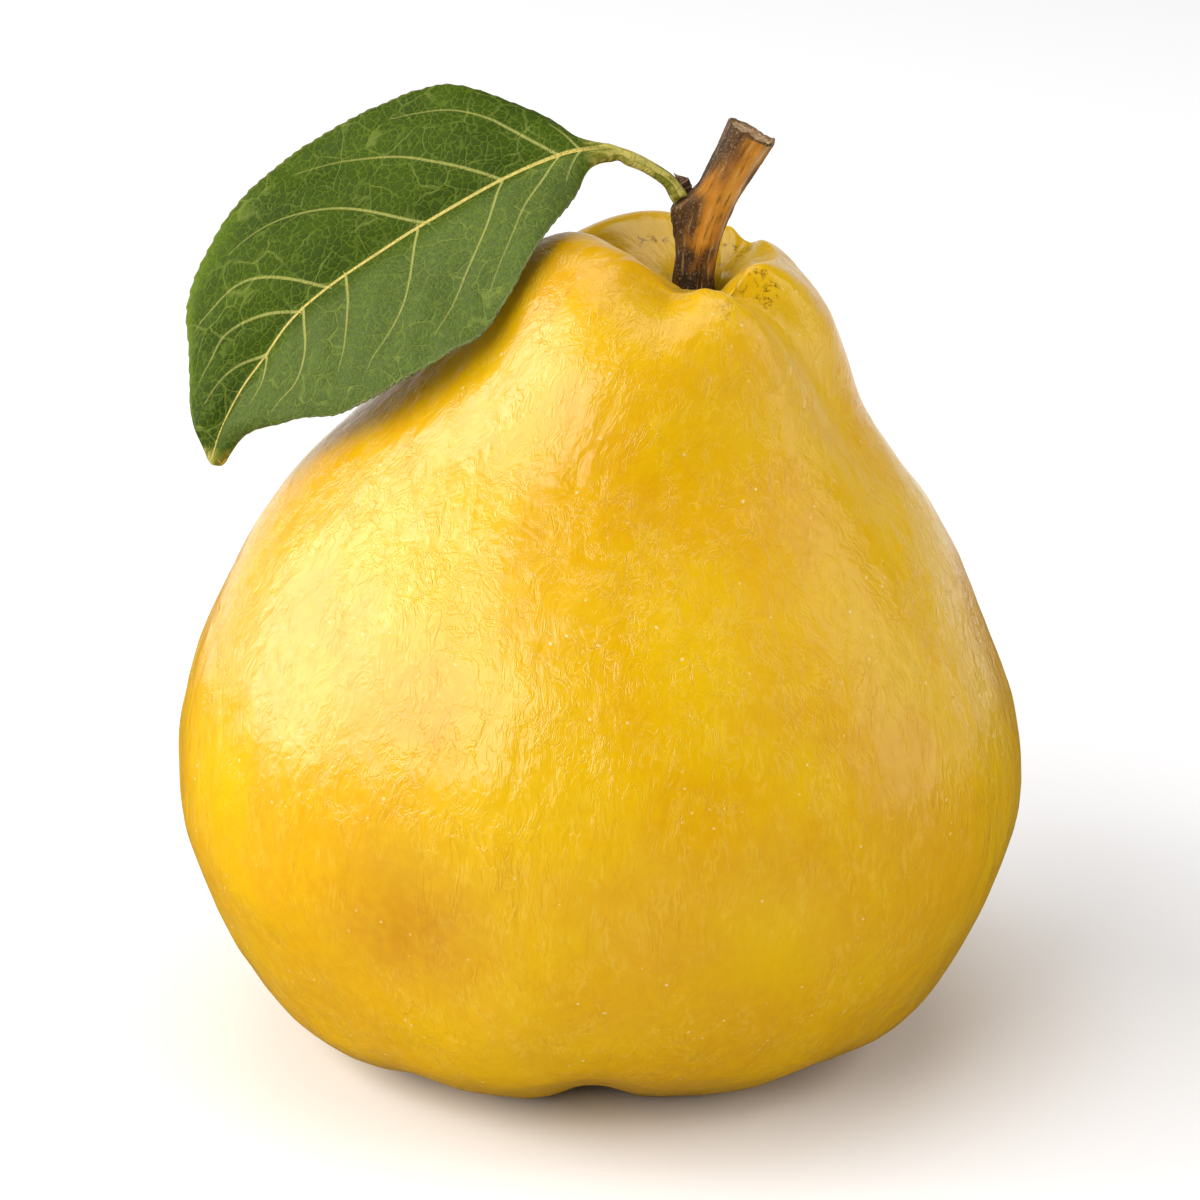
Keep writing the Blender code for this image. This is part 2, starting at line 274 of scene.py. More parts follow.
# %% Positions and patterns
class PatternFinish(Finish):
    """A finish with positions, and patterns that sit on them."""

    def kept(self, name, output="Fac"):
        """What the mesh keeps at its points under this name."""
        return self.node("ShaderNodeAttribute", {}, attribute_name=name).outputs[output]

    def place(self):
        """The point in space, as the piece was modelled."""
        return self.node("ShaderNodeTexCoord", {}).outputs["Object"]

    def stretch(self, where, scale, shift=(0, 0, 0)):
        """A position scaled along each axis: a small number draws a pattern out that way."""
        sockets = {"Vector": where, "Scale": scale, "Location": shift}
        return self.node("ShaderNodeMapping", sockets).outputs[0]

    def vector(self, operation, first, second):
        return self.node("ShaderNodeVectorMath", {0: first, 1: second}, operation=operation)

    def pushed(self, where, size, amount):
        """A position pushed about by a cloud's three colours, for lines that wander."""
        sockets = {"Vector": where, "Scale": 1 / size, "Detail": 2.0}
        push = self.node("ShaderNodeTexNoise", sockets).outputs["Color"]
        centred = self.vector("SUBTRACT", push, (0.5, 0.5, 0.5)).outputs[0]
        scaled = self.vector("MULTIPLY", centred, (amount, amount, amount)).outputs[0]
        return self.vector("ADD", where, scaled).outputs[0]

    def cloud(self, where, size, detail=2.0, roughness=0.5):
        """Soft noise from 0 to 1 with puffs of about this size."""
        sockets = {"Vector": where, "Scale": 1 / size, "Detail": detail, "Roughness": roughness}
        return self.node("ShaderNodeTexNoise", sockets).outputs[0]

    def cells(self, where, size, feature="F1"):
        """Distances in a pattern of cells: to a cell's middle, or to its edge."""
        sockets = {"Vector": where, "Scale": 1 / size}
        return self.node("ShaderNodeTexVoronoi", sockets, feature=feature).outputs["Distance"]


# %% [markdown]
# A pattern is only a number at each point. The last helpers turn such numbers into a finish:
# they add, multiply and fade them, draw lines with them, and use them as masks for colours and
# as heights for relief.

# %% Fades, layers of colour and relief
class LayeredFinish(PatternFinish):
    """A finish with fades, layers of colour and relief."""

    def maths(self, operation, first, second=0.0):
        return self.node("ShaderNodeMath", {0: first, 1: second}, operation=operation).outputs[0]

    def sum(self, *parts):
        total = parts[0]
        for part in parts[1:]:
            total = self.maths("ADD", total, part)
        return total

    def times(self, first, second):
        return self.maths("MULTIPLY", first, second)

    def fade(self, value, low, high, to_low=0.0, to_high=1.0):
        """A smooth change from one number to another while the value goes from low to high."""
        sockets = {"Value": value, "From Min": low, "From Max": high, "To Min": to_low, "To Max": to_high}
        return self.node("ShaderNodeMapRange", sockets, interpolation_type="SMOOTHSTEP").outputs[0]

    def line(self, cloud, width):
        """Thin winding lines where a cloud crosses its middle value."""
        off = self.maths("ABSOLUTE", self.maths("SUBTRACT", cloud, 0.5))
        return self.fade(off, 0.0, width, 1.0, 0.0)

    def near(self, point, reach):
        """1 at a point of the piece, falling to 0 at this distance."""
        gap = self.vector("DISTANCE", self.place(), point).outputs["Value"]
        return self.fade(gap, 0.0, reach, 1.0, 0.0)

    def blend(self, factor, first, second):
        """The first colour where the factor is 0, and the second where it is 1."""
        sockets = {0: factor, 6: first, 7: second}
        return self.node("ShaderNodeMix", sockets, data_type="RGBA").outputs[2]

    def layered(self, base, *layers):
        """Colours laid one over another. Each layer is a mask, its strength and its colour."""
        for mask, strength, tone in layers:
            base = self.blend(self.times(mask, strength), base, tone)
        return base

    def bump(self, height, distance, strength, under=None):
        """Relief as deep as this distance, on top of other relief if there is any under it."""
        sockets = {"Height": height, "Distance": distance, "Strength": strength}
        if under is not None:
            sockets["Normal"] = under
        return self.node("ShaderNodeBump", sockets).outputs[0]


# %% [markdown]
# ## The skin's strokes
# Over a ripe quince's flesh lies a skin with short wandering strokes, like brushed wax, which
# run roughly from the base to the stalk. They could be modelled, but at a fifth of a millimetre
# wide that would take millions of faces, so they are bumps in the shader. A cloud stretched
# along the fruit crosses its middle value along long thin lines, and a second cloud breaks the
# lines into strokes. Finer hairs and a few long creases are made the same way.

# %% Quince skin: strokes, hairs, creases and specks
skin = LayeredFinish("ripe_skin", {
    "Specular IOR Level": 0.55,
    "Subsurface Weight": 0.10,
    "Subsurface Radius": (2.5, 1.2, 0.3),
    "Subsurface Scale": 1 * MM,
    "Sheen Weight": 0.10,
    "Sheen Roughness": 0.3,
    "Sheen Tint": colour(255, 232, 196),
})
on_fruit = skin.place()
along = skin.kept("wrap", "Vector")
flow = skin.pushed(skin.pushed(skin.stretch(along, (1, 1, 0.5)), 7 * MM, 5 * MM), 2.2 * MM, 1.6 * MM)
zones = skin.fade(skin.cloud(along, 14 * MM, 3, 0.55), 0.35, 0.53)
breaks = skin.fade(skin.cloud(skin.stretch(along, (1, 1, 0.6)), 1.9 * MM), 0.40, 0.60)
strokes = skin.line(skin.cloud(skin.stretch(flow, (1, 1, 0.42)), 0.60 * MM, 1.5), 0.11)
strokes = skin.times(strokes, breaks)
hairs = skin.line(skin.cloud(skin.stretch(flow, (1, 1, 0.4), (0.5, 0.2, 0.7)), 0.36 * MM, 1.0), 0.09)
hairs = skin.times(hairs, skin.fade(skin.cloud(along, 1.5 * MM), 0.42, 0.58))
creases = skin.line(skin.cloud(skin.stretch(flow, (1, 1, 0.5), (0.1, 0.9, 0.3)), 1.6 * MM), 0.02)
creases = skin.times(creases, skin.fade(skin.cloud(along, 5 * MM), 0.44, 0.60))
fine = skin.cloud(skin.stretch(flow, (1, 1, 0.55)), 0.40 * MM)
pits = skin.cells(skin.pushed(on_fruit, 3 * MM, 1 * MM), 1.7 * MM)
specks = skin.fade(pits, 0.06, 0.13, 1.0, 0.0)
specks = skin.times(specks, skin.fade(skin.cloud(on_fruit, 6 * MM), 0.48, 0.62))
print("nodes for the skin's strokes:", len(skin.tree.nodes))

# %% [markdown]
# ## The skin's colour
# A ripe quince is golden yellow, paler where the light has bleached it and orange where it was
# shaded. Low on the belly the skin is painted duller and darker as painted shade, and the inside
# of the stalk's hollow is painted dark brown as painted shade too. One soft brown patch sits in
# the dimple low on the front. These are broad clouds and fades, laid one over another like thin
# coats of paint: each coat has a mask for where it goes, a strength and a colour.

# %% Quince skin: colour
# A soft brown patch in the dimple low on the front of the belly.
BROWN_PATCH = Vector((-17.7, -38, 28)) * MM
BROWN_PATCH_REACH = 13 * MM
golden = skin.fade(skin.cloud(on_fruit, 19 * MM, 3, 0.55), 0.35, 0.66)
warm = skin.cloud(skin.stretch(along, (1, 1, 0.6), (0.02, 0.01, 0.05)), 8 * MM, 4, 0.6)
# Painted shade: the skin is painted darker and duller low on the belly.
painted_belly_shade = skin.fade(skin.kept("place"), 10.0, 16.0, 1.0, 0.0)
mottle = skin.fade(skin.cloud(on_fruit, 1.3 * MM, 3), 0.35, 0.7)
# Painted shade: the inside of the stalk's hollow is painted dark brown.
painted_hollow_shade = skin.fade(skin.kept("place"), 26.0, 27.6)
skin_colour = skin.layered(
    skin.blend(golden, colour(215, 170, 2), colour(208, 154, 1)),
    (skin.fade(warm, 0.48, 0.72), 0.22, colour(204, 138, 4)),
    (painted_belly_shade, 0.45, colour(200, 152, 2)),
    (skin.near(BROWN_PATCH, BROWN_PATCH_REACH), 0.6, colour(180, 112, 28)),
    (mottle, 0.2, colour(220, 178, 4)),
    (skin.times(strokes, zones), 0.10, colour(252, 222, 110)),
    # Painted shade: besides their relief, the creases are painted a darker orange.
    (creases, 0.25, colour(205, 140, 10)),
    (specks, 0.4, colour(255, 238, 185)),
    (painted_hollow_shade, 0.7, colour(150, 105, 30)),
)
print("nodes with the skin's colour:", len(skin.tree.nodes))

# %% [markdown]
# ## Brown marks by the stalk
# Round the hollow a quince often carries russet: rough brown scratches and blots that gather in
# patches. They lie in the skin, so they are colour and not geometry. Thin lines and small blots
# are put together, and only kept in a few patches, whose middles and sizes are listed.

# %% Quince skin: brown marks
RUSSET_PATCHES = (
    # middle, reach, strength
    ((16.2, -8.3, 84.4), 3.8 * MM, 0.85),
    ((13.8, -14.3, 83.6), 3.2 * MM, 0.45),
    ((5.4, 7.2, 85.5), 3.4 * MM, 0.75),
    ((13.9, 5.6, 84.2), 3.8 * MM, 0.80),
)
RUSSET_BROWN = colour(112, 76, 18)
scratches = skin.cloud(skin.pushed(on_fruit, 1.2 * MM, 0.8 * MM), 1.1 * MM, 3, 0.7)
blots = skin.fade(skin.cloud(on_fruit, 0.7 * MM, 3, 0.7), 0.57, 0.62)
gathered = skin.fade(skin.cloud(on_fruit, 1.5 * MM), 0.49, 0.58)
russet = skin.times(skin.maths("MAXIMUM", skin.line(scratches, 0.06), blots), gathered)
for middle, reach, strength in RUSSET_PATCHES:
    patch = skin.fade(skin.near(Vector(middle) * MM, reach), 0.25, 0.6)
    skin_colour = skin.layered(skin_colour, (skin.times(patch, russet), strength, RUSSET_BROWN))
print("russet patches:", len(RUSSET_PATCHES))

# %% [markdown]
# ## The skin's relief and gloss
# The strokes stand up by a few hundredths of a millimetre, more in some zones than in others,
# over a softer unevenness ten times as deep. That is what breaks the lamps' reflections into a
# soft glitter. The skin is satin, not mirror-smooth, and the gloss itself drifts a little.

# %% Quince skin: relief and gloss
SOFT_RELIEF = 0.25 * MM
FINE_RELIEF = 0.027 * MM
relief_height = skin.sum(strokes, skin.times(hairs, 0.6), skin.times(fine, 0.8), skin.times(creases, -1.0))
relief_height = skin.times(relief_height, skin.fade(zones, 0, 1, 0.35, 1.0))
soft = skin.bump(skin.cloud(flow, 2.4 * MM), SOFT_RELIEF, 1.0)
skin_relief = skin.bump(skin.sum(relief_height, specks), FINE_RELIEF, 1.0, soft)
skin_gloss = skin.fade(skin.cloud(on_fruit, 9 * MM, 3), 0.3, 0.7, 0.17, 0.25)
quince_skin = skin.done(skin_colour, skin_gloss, skin_relief)

# %% [markdown]
# ## The fruit
# The body is an outline turned round the upright axis, then pushed in and out: folds part the
# lobes at the base and round the stalk's hollow, and broad swells keep it from looking turned
# on a lathe. It could be sculpted by hand, but a formula can be read, and it gives the same
# fruit every time. The numbers are those of the plain model. Each outline point is a share of
# the girth, a share of the height and how far the neck leans there. Each fold has an angle, a
# depth, a width in degrees, a reach in outline points and how far it winds aside on its way
# down. Each swell has an angle, an outline point, its two reaches and an amount.

# %% The fruit's outline, folds and swells
GIRTH_RADIUS = 45.0 * MM
CROWN_HEIGHT = 87.0 * MM
NECK_LEAN = 10.0 * MM
FRUIT_OUTLINE = (
    (0.000, 0.155, 0.00), (0.060, 0.153, 0.00), (0.086, 0.137, 0.00), (0.122, 0.126, 0.00),
    (0.184, 0.107, 0.00), (0.255, 0.072, 0.00), (0.335, 0.024, 0.00), (0.440, -0.006, 0.00),
    (0.560, 0.006, 0.00), (0.690, 0.032, 0.00), (0.800, 0.072, 0.00), (0.880, 0.138, 0.00),
    (0.945, 0.213, 0.00), (0.992, 0.288, 0.00), (1.000, 0.352, 0.00), (0.982, 0.425, 0.00),
    (0.938, 0.503, 0.00), (0.870, 0.583, 0.02), (0.775, 0.658, 0.05), (0.664, 0.732, 0.10),
    (0.558, 0.800, 0.21), (0.484, 0.862, 0.39), (0.424, 0.917, 0.54), (0.350, 0.968, 0.66),
    (0.246, 0.998, 0.76), (0.168, 0.979, 0.90), (0.100, 0.952, 0.97), (0.076, 0.926, 1.00),
    (0.072, 0.901, 1.00), (0.000, 0.893, 1.00),
)
BASE_CREST = 7
CROWN_CREST = 24
BASE_FOLDS = (
    (203, 1.7 * MM, 7, 2.6, 0), (231, 1.3 * MM, 7, 2.2, 0), (268, 2.0 * MM, 9, 3.0, 0),
    (312, 1.6 * MM, 8, 2.4, 0), (352, 2.1 * MM, 9, 3.2, 0), (38, 1.5 * MM, 8, 2.6, 0),
    (82, 2.0 * MM, 9, 3.0, 0), (120, 1.4 * MM, 8, 2.4, 0), (160, 1.9 * MM, 9, 2.8, 0),
)
CROWN_FOLDS = (
    (170, 0.9 * MM, 9, 2.2, -6), (296, 3.0 * MM, 13, 4.2, 46), (44, 1.5 * MM, 10, 2.6, 8),
    (70, 0.8 * MM, 9, 2.0, -6), (148, 2.4 * MM, 10, 2.6, 10),
)
SWELLS = (
    (250, 22.0, 30, 2.4, 0.9 * MM), (190, 20.4, 26, 2.2, 1.0 * MM), (180, 18.6, 24, 1.4, 0.6 * MM),
    (5, 23.5, 32, 1.5, -1.9 * MM), (342, 18.6, 26, 1.4, 0.5 * MM), (350, 16.2, 36, 1.6, -0.9 * MM),
    (285, 19.4, 26, 1.6, -1.0 * MM), (247, 13.0, 16, 1.2, -1.6 * MM), (226, 11.0, 12, 1.2, -0.9 * MM),
    (258, 10.6, 14, 1.2, 0.8 * MM), (270, 9.7, 34, 1.6, -2.3 * MM), (200, 9.6, 24, 1.6, 0.5 * MM),
    (60, 19.5, 34, 2.0, -1.0 * MM), (110, 14.0, 40, 2.4, 0.6 * MM), (30, 12.0, 24, 1.6, -0.9 * MM),
    (206, 23.7, 37, 1.4, 2.4 * MM), (268, 24.0, 17, 1.3, -2.9 * MM), (104, 24.0, 26, 1.2, 0.6 * MM),
    (0, 25.7, 40, 0.7, 1.0 * MM), (156, 24.1, 24, 1.4, -1.7 * MM),
)
HOLLOW_REACH = 1.4
print("folds:", len(BASE_FOLDS) + len(CROWN_FOLDS), "swells:", len(SWELLS))

# %% [markdown]
# The same formula gives the height of the skin at any angle and any place along the outline. A
# crown fold reaches far down the neck but ends soon inside the hollow, which is narrow there.
# Fine wrinkles run into both ends of the real fruit, too small for the plain model. They are
# added here, spread by an angle that never repeats, so no pattern shows.

# %% How far the skin stands out
WRINKLES = 34
GOLDEN_ANGLE = 137.5


def relief(angle, place):
    """How far the skin stands out from the turned outline. place counts outline points."""
    height = np.zeros(np.broadcast(angle, place).shape)
    for folds, crest in ((BASE_FOLDS, BASE_CREST), (CROWN_FOLDS, CROWN_CREST)):
        for at, depth, width, reach, winding in folds:
            away = np.maximum(crest - place, 0)
            line = at + winding * (1 - np.exp(-away / 1.6))
            spread = np.where(place > CROWN_CREST, min(reach, HOLLOW_REACH), reach)
            height -= depth * facing(angle, line, width) * bell((place - crest) / spread)
    for at, point, around, along, amount in SWELLS:
        height += amount * facing(angle, at, around) * bell((place - point) / along)
    return height


def wrinkles(angle, place):
    """Narrow radial wrinkles that run into the stalk's hollow and the calyx basin."""
    height = np.zeros(np.broadcast(angle, place).shape)
    for k in range(WRINKLES):
        crest = CROWN_CREST + 0.4 if k % 2 else BASE_CREST - 1.2
        line = (k * GOLDEN_ANGLE + 20 * math.sin(k)) % 360 + 5 * np.sin(place + k)
        depth = (0.12 + 0.10 * math.sin(2.3 * k)) * MM
        reach = 1.4 + 0.5 * math.cos(1.7 * k)
        height -= depth * facing(angle, line, 3.2) * bell((place - crest) / reach)
    return height


crest = relief(np.arange(360), CROWN_CREST)
print("height round the crown's crest, mm:", round(crest.min() / MM, 1), "to", round(crest.max() / MM, 1))

# %% The fruit
FLAT_CENTRE = 0.09 * GIRTH_RADIUS
LEAST_GIRTH = 12 * MM


def round_the_axis(radius, turn, z):
    """Points round the upright axis: one row for each radius, one column for each turn."""
    return np.stack([radius * np.cos(turn), radius * np.sin(turn), z + 0 * turn], axis=2)


def fruit_rings(columns, steps):
    """Rings over the fruit from the calyx cup to the stalk's seat, and what the finish reads."""
    outline = through(FRUIT_OUTLINE, steps) * (GIRTH_RADIUS, CROWN_HEIGHT, NECK_LEAN)
    radius, height, lean = outline[:, :1], outline[:, 1:2], outline[:, 2:]
    tangent = np.gradient(outline[:, :2], axis=0)
    outward = unit(np.stack([tangent[:, 1], -tangent[:, 0]], axis=1))
    place = (np.arange(len(outline)) / steps)[:, None]
    angle = (np.arange(columns) * 360 / columns)[None, :]
    turn = np.radians(angle)
    even = round_the_axis(radius, turn, height)
    uneven = 0.30 * MM * roughly(even, 14 * MM) + 0.07 * MM * roughly(even, 4 * MM)
    push = (relief(angle, place) + wrinkles(angle, place) + uneven) * smooth_step(radius / FLAT_CENTRE)
    points = round_the_axis(radius + outward[:, :1] * push, turn, height + outward[:, 1:] * push)
    points[..., 0] += lean
    points[..., 2] = np.maximum(points[..., 2], 0)
    walked = np.r_[0, np.cumsum(np.linalg.norm(np.diff(outline[:, :2], axis=0), axis=1))][:, None]
    wrap = round_the_axis(np.maximum(radius, LEAST_GIRTH), turn, walked)
    return points[1:-1], wrap[1:-1], (place + 0 * angle)[1:-1]


rings, wrap, place = fruit_rings(columns=400, steps=7)
closed_piece("quince_fruit", rings, quince_skin, "quince_skin", "fruit", wrap=wrap, place=place)

# %% [markdown]
# ## The stalk's finish
# The stalk is a piece of last year's twig. Its bark is orange-brown and splits along its length
# into pale fibres and dark cracks; it is grey-brown on the cushion that the leaf grew from, and
# where it sits in the fruit's hollow it is painted nearly black as painted shade. Which tone goes
# where is worked out with the shape and kept at its points. Fibres are one cloud stretched along
# the twig. Where it was cut, pale dry wood shows.

# %% Stalk bark finish
bark = LayeredFinish("split_bark", {"Specular IOR Level": 0.2})
fibre_path = bark.stretch(bark.kept("wrap", "Vector"), (1, 1, 0.5))
fibre_path = bark.pushed(fibre_path, 2.0 * MM, 0.5 * MM)
fibres = bark.cloud(bark.stretch(fibre_path, (1, 1, 0.18)), 0.30 * MM, 3, 0.65)
broad = bark.cloud(bark.stretch(fibre_path, (1, 1, 0.35)), 1.2 * MM, 3, 0.6)
grain = bark.cloud(bark.place(), 0.22 * MM, 3, 0.65)
tone = bark.sum(bark.kept("tone"), bark.times(bark.maths("SUBTRACT", broad, 0.5), 1.1))
grey_grain = bark.times(bark.fade(grain, 0.56, 0.68), bark.fade(tone, 0.2, 0.8, 0.5, 0.1))
bark_colour = bark.layered(
    bark.blend(bark.fade(tone, -0.1, 0.5), colour(58, 42, 26), colour(112, 72, 28)),
    (bark.fade(tone, 0.3, 1.0), 1.0, colour(184, 120, 28)),
    (bark.fade(tone, 0.8, 1.3), 0.6, colour(212, 158, 70)),
    (bark.fade(fibres, 0.56, 0.70), 0.40, colour(206, 172, 116)),
    (bark.fade(fibres, 0.32, 0.45, 1.0, 0.0), 0.70, colour(58, 34, 16)),
    (bark.kept("pale"), 0.8, colour(206, 176, 128)),
    (grey_grain, 1.0, colour(188, 164, 130)),
)
wood = bark.fade(bark.cloud(bark.place(), 0.45 * MM, 4, 0.7), 0.35, 0.65)
wood = bark.blend(wood, colour(128, 96, 62), colour(206, 178, 138))
bark_colour = bark.blend(bark.kept("cut"), bark_colour, wood)
splits = bark.bump(bark.sum(bark.times(fibres, 0.8), bark.times(grain, 0.5)), 0.15 * MM, 0.9)
stalk_bark = bark.done(bark_colour, bark.fade(fibres, 0.3, 0.7, 0.85, 0.60), splits)

# %% [markdown]
# ## The stalk
# Rings along a bent line, a little three-sided as young quince wood is. On the leaf's side the
# bark swells into a cushion. The bark's fibres are real ridges here, a few hundredths of the
# radius high, because the stalk's outline shows them.

# %% Stalk measures
STALK_RADIUS = 2.2 * MM
STALK_LINE = np.array([
    (9.9, 0.0, 78.7), (9.7, 0.0, 80.5), (9.7, 0.0, 83.4), (10.4, 0.0, 87.5),
    (12.1, 0.0, 92.1), (13.9, 0.1, 95.7), (15.3, 0.1, 98.4),
]) * MM
STALK_SWELL = (1.10, 1.03, 0.98, 0.96, 1.00, 1.06, 1.20)
CUSHION_TOP = 93.2 * MM
CUSHION_LENGTH = 8.0 * MM
CUSHION_LIP = 1.7 * MM
CUSHION_PUSH = np.array([-2.7, -0.4, -0.9]) * MM
CUSHION_TURN = 190
STALK_RIDGES = (
    # angle, height as a share of the radius, width in degrees
    (318, 0.10, 14), (288, -0.07, 12),
)
stalk_height = STALK_LINE[-1, 2] - STALK_LINE[0, 2]
print("stalk:", round(stalk_height / MM, 1), "mm from its seat to its cut end")

# %% Stalk shape
def directions_round(along, side, angles):
    """Unit directions at right angles to each direction along a line, turned through the angles."""
    along = unit(along)
    side = np.asarray(side, float)
    first = unit(side - (along @ side)[:, None] * along)[:, None]
    second = np.cross(along, first[:, 0])[:, None]
    return first * np.cos(angles)[None, :, None] + second * np.sin(angles)[None, :, None]


def leaf_cushion(points, degrees):
    """How much the cushion swells at each point: softly from below, with a lip at its top."""
    below = CUSHION_TOP - points[..., 2]
    cushion = smooth_step(1 - below / CUSHION_LENGTH) * smooth_step(below / CUSHION_LIP)
    return cushion * facing(degrees, CUSHION_TURN, 45)


def stalk_rings(degrees, steps):
    """Rings along the stalk, positions for its fibres, the cushion's share, and the directions."""
    line = through(STALK_LINE, steps)
    swell = through(np.array(STALK_SWELL)[:, None], steps)
    along = np.gradient(line, axis=0)
    angles = np.radians(degrees)[None, :]
    out = directions_round(along, (1, 0, 0), angles[0])
    z = line[:, 2:]
    ridge = 0.05 * np.cos(3 * angles + z / (4 * MM)) + 0.03 * np.cos(5 * angles)
    for at, lift, width in STALK_RIDGES:
        ridge = ridge + lift * facing(degrees, at, width)
    wrap = round_the_axis(2 * MM + 0 * swell, angles, z)
    fibre = roughly(wrap * (1, 1, 0.12), 0.45 * MM) * 0.035 + roughly(wrap * (1, 1, 0.4), 1.6 * MM) * 0.05
    foot = bell((z - z[0]) / (2.2 * MM))
    lumps = roughly(wrap, 0.9 * MM) * (0.02 + 0.08 * foot)
    points = line[:, None] + out * (STALK_RADIUS * (swell + ridge + fibre + lumps))[..., None]
    cushion = leaf_cushion(points, degrees)
    points = points + cushion[..., None] * (CUSHION_PUSH * (1 + 0.12 * roughly(wrap, 0.8 * MM))[..., None])
    return points, wrap, cushion, unit(along)


# %% [markdown]
# Two numbers kept at the points steer the bark's finish: how golden it is, from 0 for the dark
# crusts and the painted shade at the foot, and where a ridge has worn pale. At the top the rings
# turn inwards over a torn rim of bark and down onto the cut wood, so the end is a real face with
# an edge and not a flat cap.

# %% The stalk's tones and its cut end
CUT_STEPS = (
    # share of the rim's radius, lift in mm, how much the tear lifts it
    (1.00, 0.06, 0.25), (0.985, 0.16, 0.45), (0.94, 0.18, 0.5), (0.88, 0.08, 0.35),
    (0.83, -0.10, 0.1), (0.72, -0.16, 0.0), (0.58, -0.14, 0.0), (0.44, -0.20, 0.0),
    (0.28, -0.18, 0.0), (0.18, -0.32, 0.0), (0.07, -0.42, 0.0),
)
GOLDEN_SIDE = 285
CRUST_SIDE = 235
WORN_RIDGE = 322
BARE_WOOD = (0, 0, 0.05, 0.35, 0.9, 1, 1, 0.9, 1, 0.75, 0.4)


def stalk_tone(wrap, cushion, degrees):
    """How golden the bark is at each point, from 0 for dark crusts and the painted shade at the foot to 1,
    and where it is pale.
    """
    up = (wrap[..., 2] - STALK_LINE[0, 2]) / stalk_height
    patchy = roughly(wrap * (1, 1, 0.6), 1.8 * MM)
    tone = 0.06 + 0.94 * facing(degrees, GOLDEN_SIDE, 62) + 0.38 * patchy
    # Painted shade: low down, where it sits in the fruit's hollow, the stalk is painted near black.
    tone = tone * smooth_step((up - 0.23 + 0.12 * patchy) / 0.22)
    tone = tone * (1 - 0.75 * smooth_step((up - 0.80) / 0.12) * facing(degrees, CRUST_SIDE, 55))
    tone = tone * (1 - smooth_step(cushion * 2.2))
    ridge = facing(degrees, WORN_RIDGE, 12) * smooth_step((up - 0.3) / 0.2)
    return tone, ridge * (0.6 + 0.5 * patchy)


def cut_end(rim, direction, degrees):
    """Rings from the bark's torn rim over the cut wood, for the end of the stalk."""
    middle = rim.mean(0)
    angles = np.radians(degrees)
    circle = np.stack([np.cos(angles), np.sin(angles), 0 * angles], axis=1)
    torn = np.abs(roughly(circle, 0.6, 3))
    spike = sum(facing(degrees, at, 10) for at in (178, 12, 262))
    wood = roughly(circle, 0.25)
    rings = []
    for share, lift, tear in CUT_STEPS:
        up = (lift + tear * (0.55 * torn + 0.6 * spike) + 0.05 * wood * (share < 0.85)) * MM
        rings.append(middle + (rim - middle) * share + up[:, None] * direction)
    return np.array(rings)


# %% The stalk
STALK_SIDES = 144
CRUST_TONE = 0.12
degrees = np.arange(STALK_SIDES) * 360 / STALK_SIDES
rings, wrap, cushion, along = stalk_rings(degrees, steps=34)
tone, pale = stalk_tone(wrap, cushion, degrees)
top = cut_end(rings[-1], along[-1], degrees)
on_top = np.ones((len(top), STALK_SIDES))
closed_piece(
    "stalk_twig", np.concatenate([rings, top]), stalk_bark, "stalk_bark", "stalk",
    wrap=np.concatenate([wrap, np.repeat(wrap[-1:], len(top), axis=0)]),
    tone=np.concatenate([tone, CRUST_TONE * on_top]),
    pale=np.concatenate([pale, 0 * on_top]),
    cut=np.concatenate([0 * tone, np.array(BARE_WOOD)[:, None] * on_top]),
)

# %% [markdown]
# ## The leaf's finish
# A quince leaf is mid-green above, with a pale yellow midrib and side veins, and between them a
# net of ever finer veins that quilts the blade. The main veins are computed with the shape and
# kept as numbers at its points, so colour and relief agree. The finer net is a pattern of cells,
# drawn along their borders, coarse loops first and a fine mesh between them. The half of the
# blade that hangs lower is painted greyer and paler as a painted reflection of the lamps. The rim
# is a thin pale line of painted light, the far margin towards the tip is painted a brighter green
# as painted light shining through, and the leaf's own stalk is olive-yellow. The blade is nearly
# matt.

# %% Leaf finish: the net of veins
blade = LayeredFinish("veined_leaf", {"Specular IOR Level": 0.07})
sheet = blade.pushed(blade.kept("sheet", "Vector"), 3 * MM, 1.3 * MM)
loops = blade.cells(sheet, 3.6 * MM, "DISTANCE_TO_EDGE")
net = blade.cells(blade.pushed(sheet, 1 * MM, 0.5 * MM), 0.80 * MM, "DISTANCE_TO_EDGE")
shown_loops = blade.fade(blade.cloud(sheet, 5 * MM), 0.36, 0.6)
loop_lines = blade.times(blade.fade(loops, 0.0, 0.045, 1.0, 0.0), shown_loops)
net_lines = blade.fade(net, 0.0, 0.16, 1.0, 0.0)
rib = blade.fade(blade.maths("ABSOLUTE", blade.kept("rib")), 0.35, 0.85, 1.0, 0.0)
branch = blade.fade(blade.maths("ABSOLUTE", blade.kept("branch")), 0.35, 1.25, 1.0, 0.0)
branch = blade.times(branch, blade.fade(blade.kept("branch_gap"), 0.45 * MM, 0.7 * MM, 1.0, 0.0))
branch = blade.times(branch, blade.kept("branch_strength"))
print("nodes for the leaf's veins:", len(blade.tree.nodes))

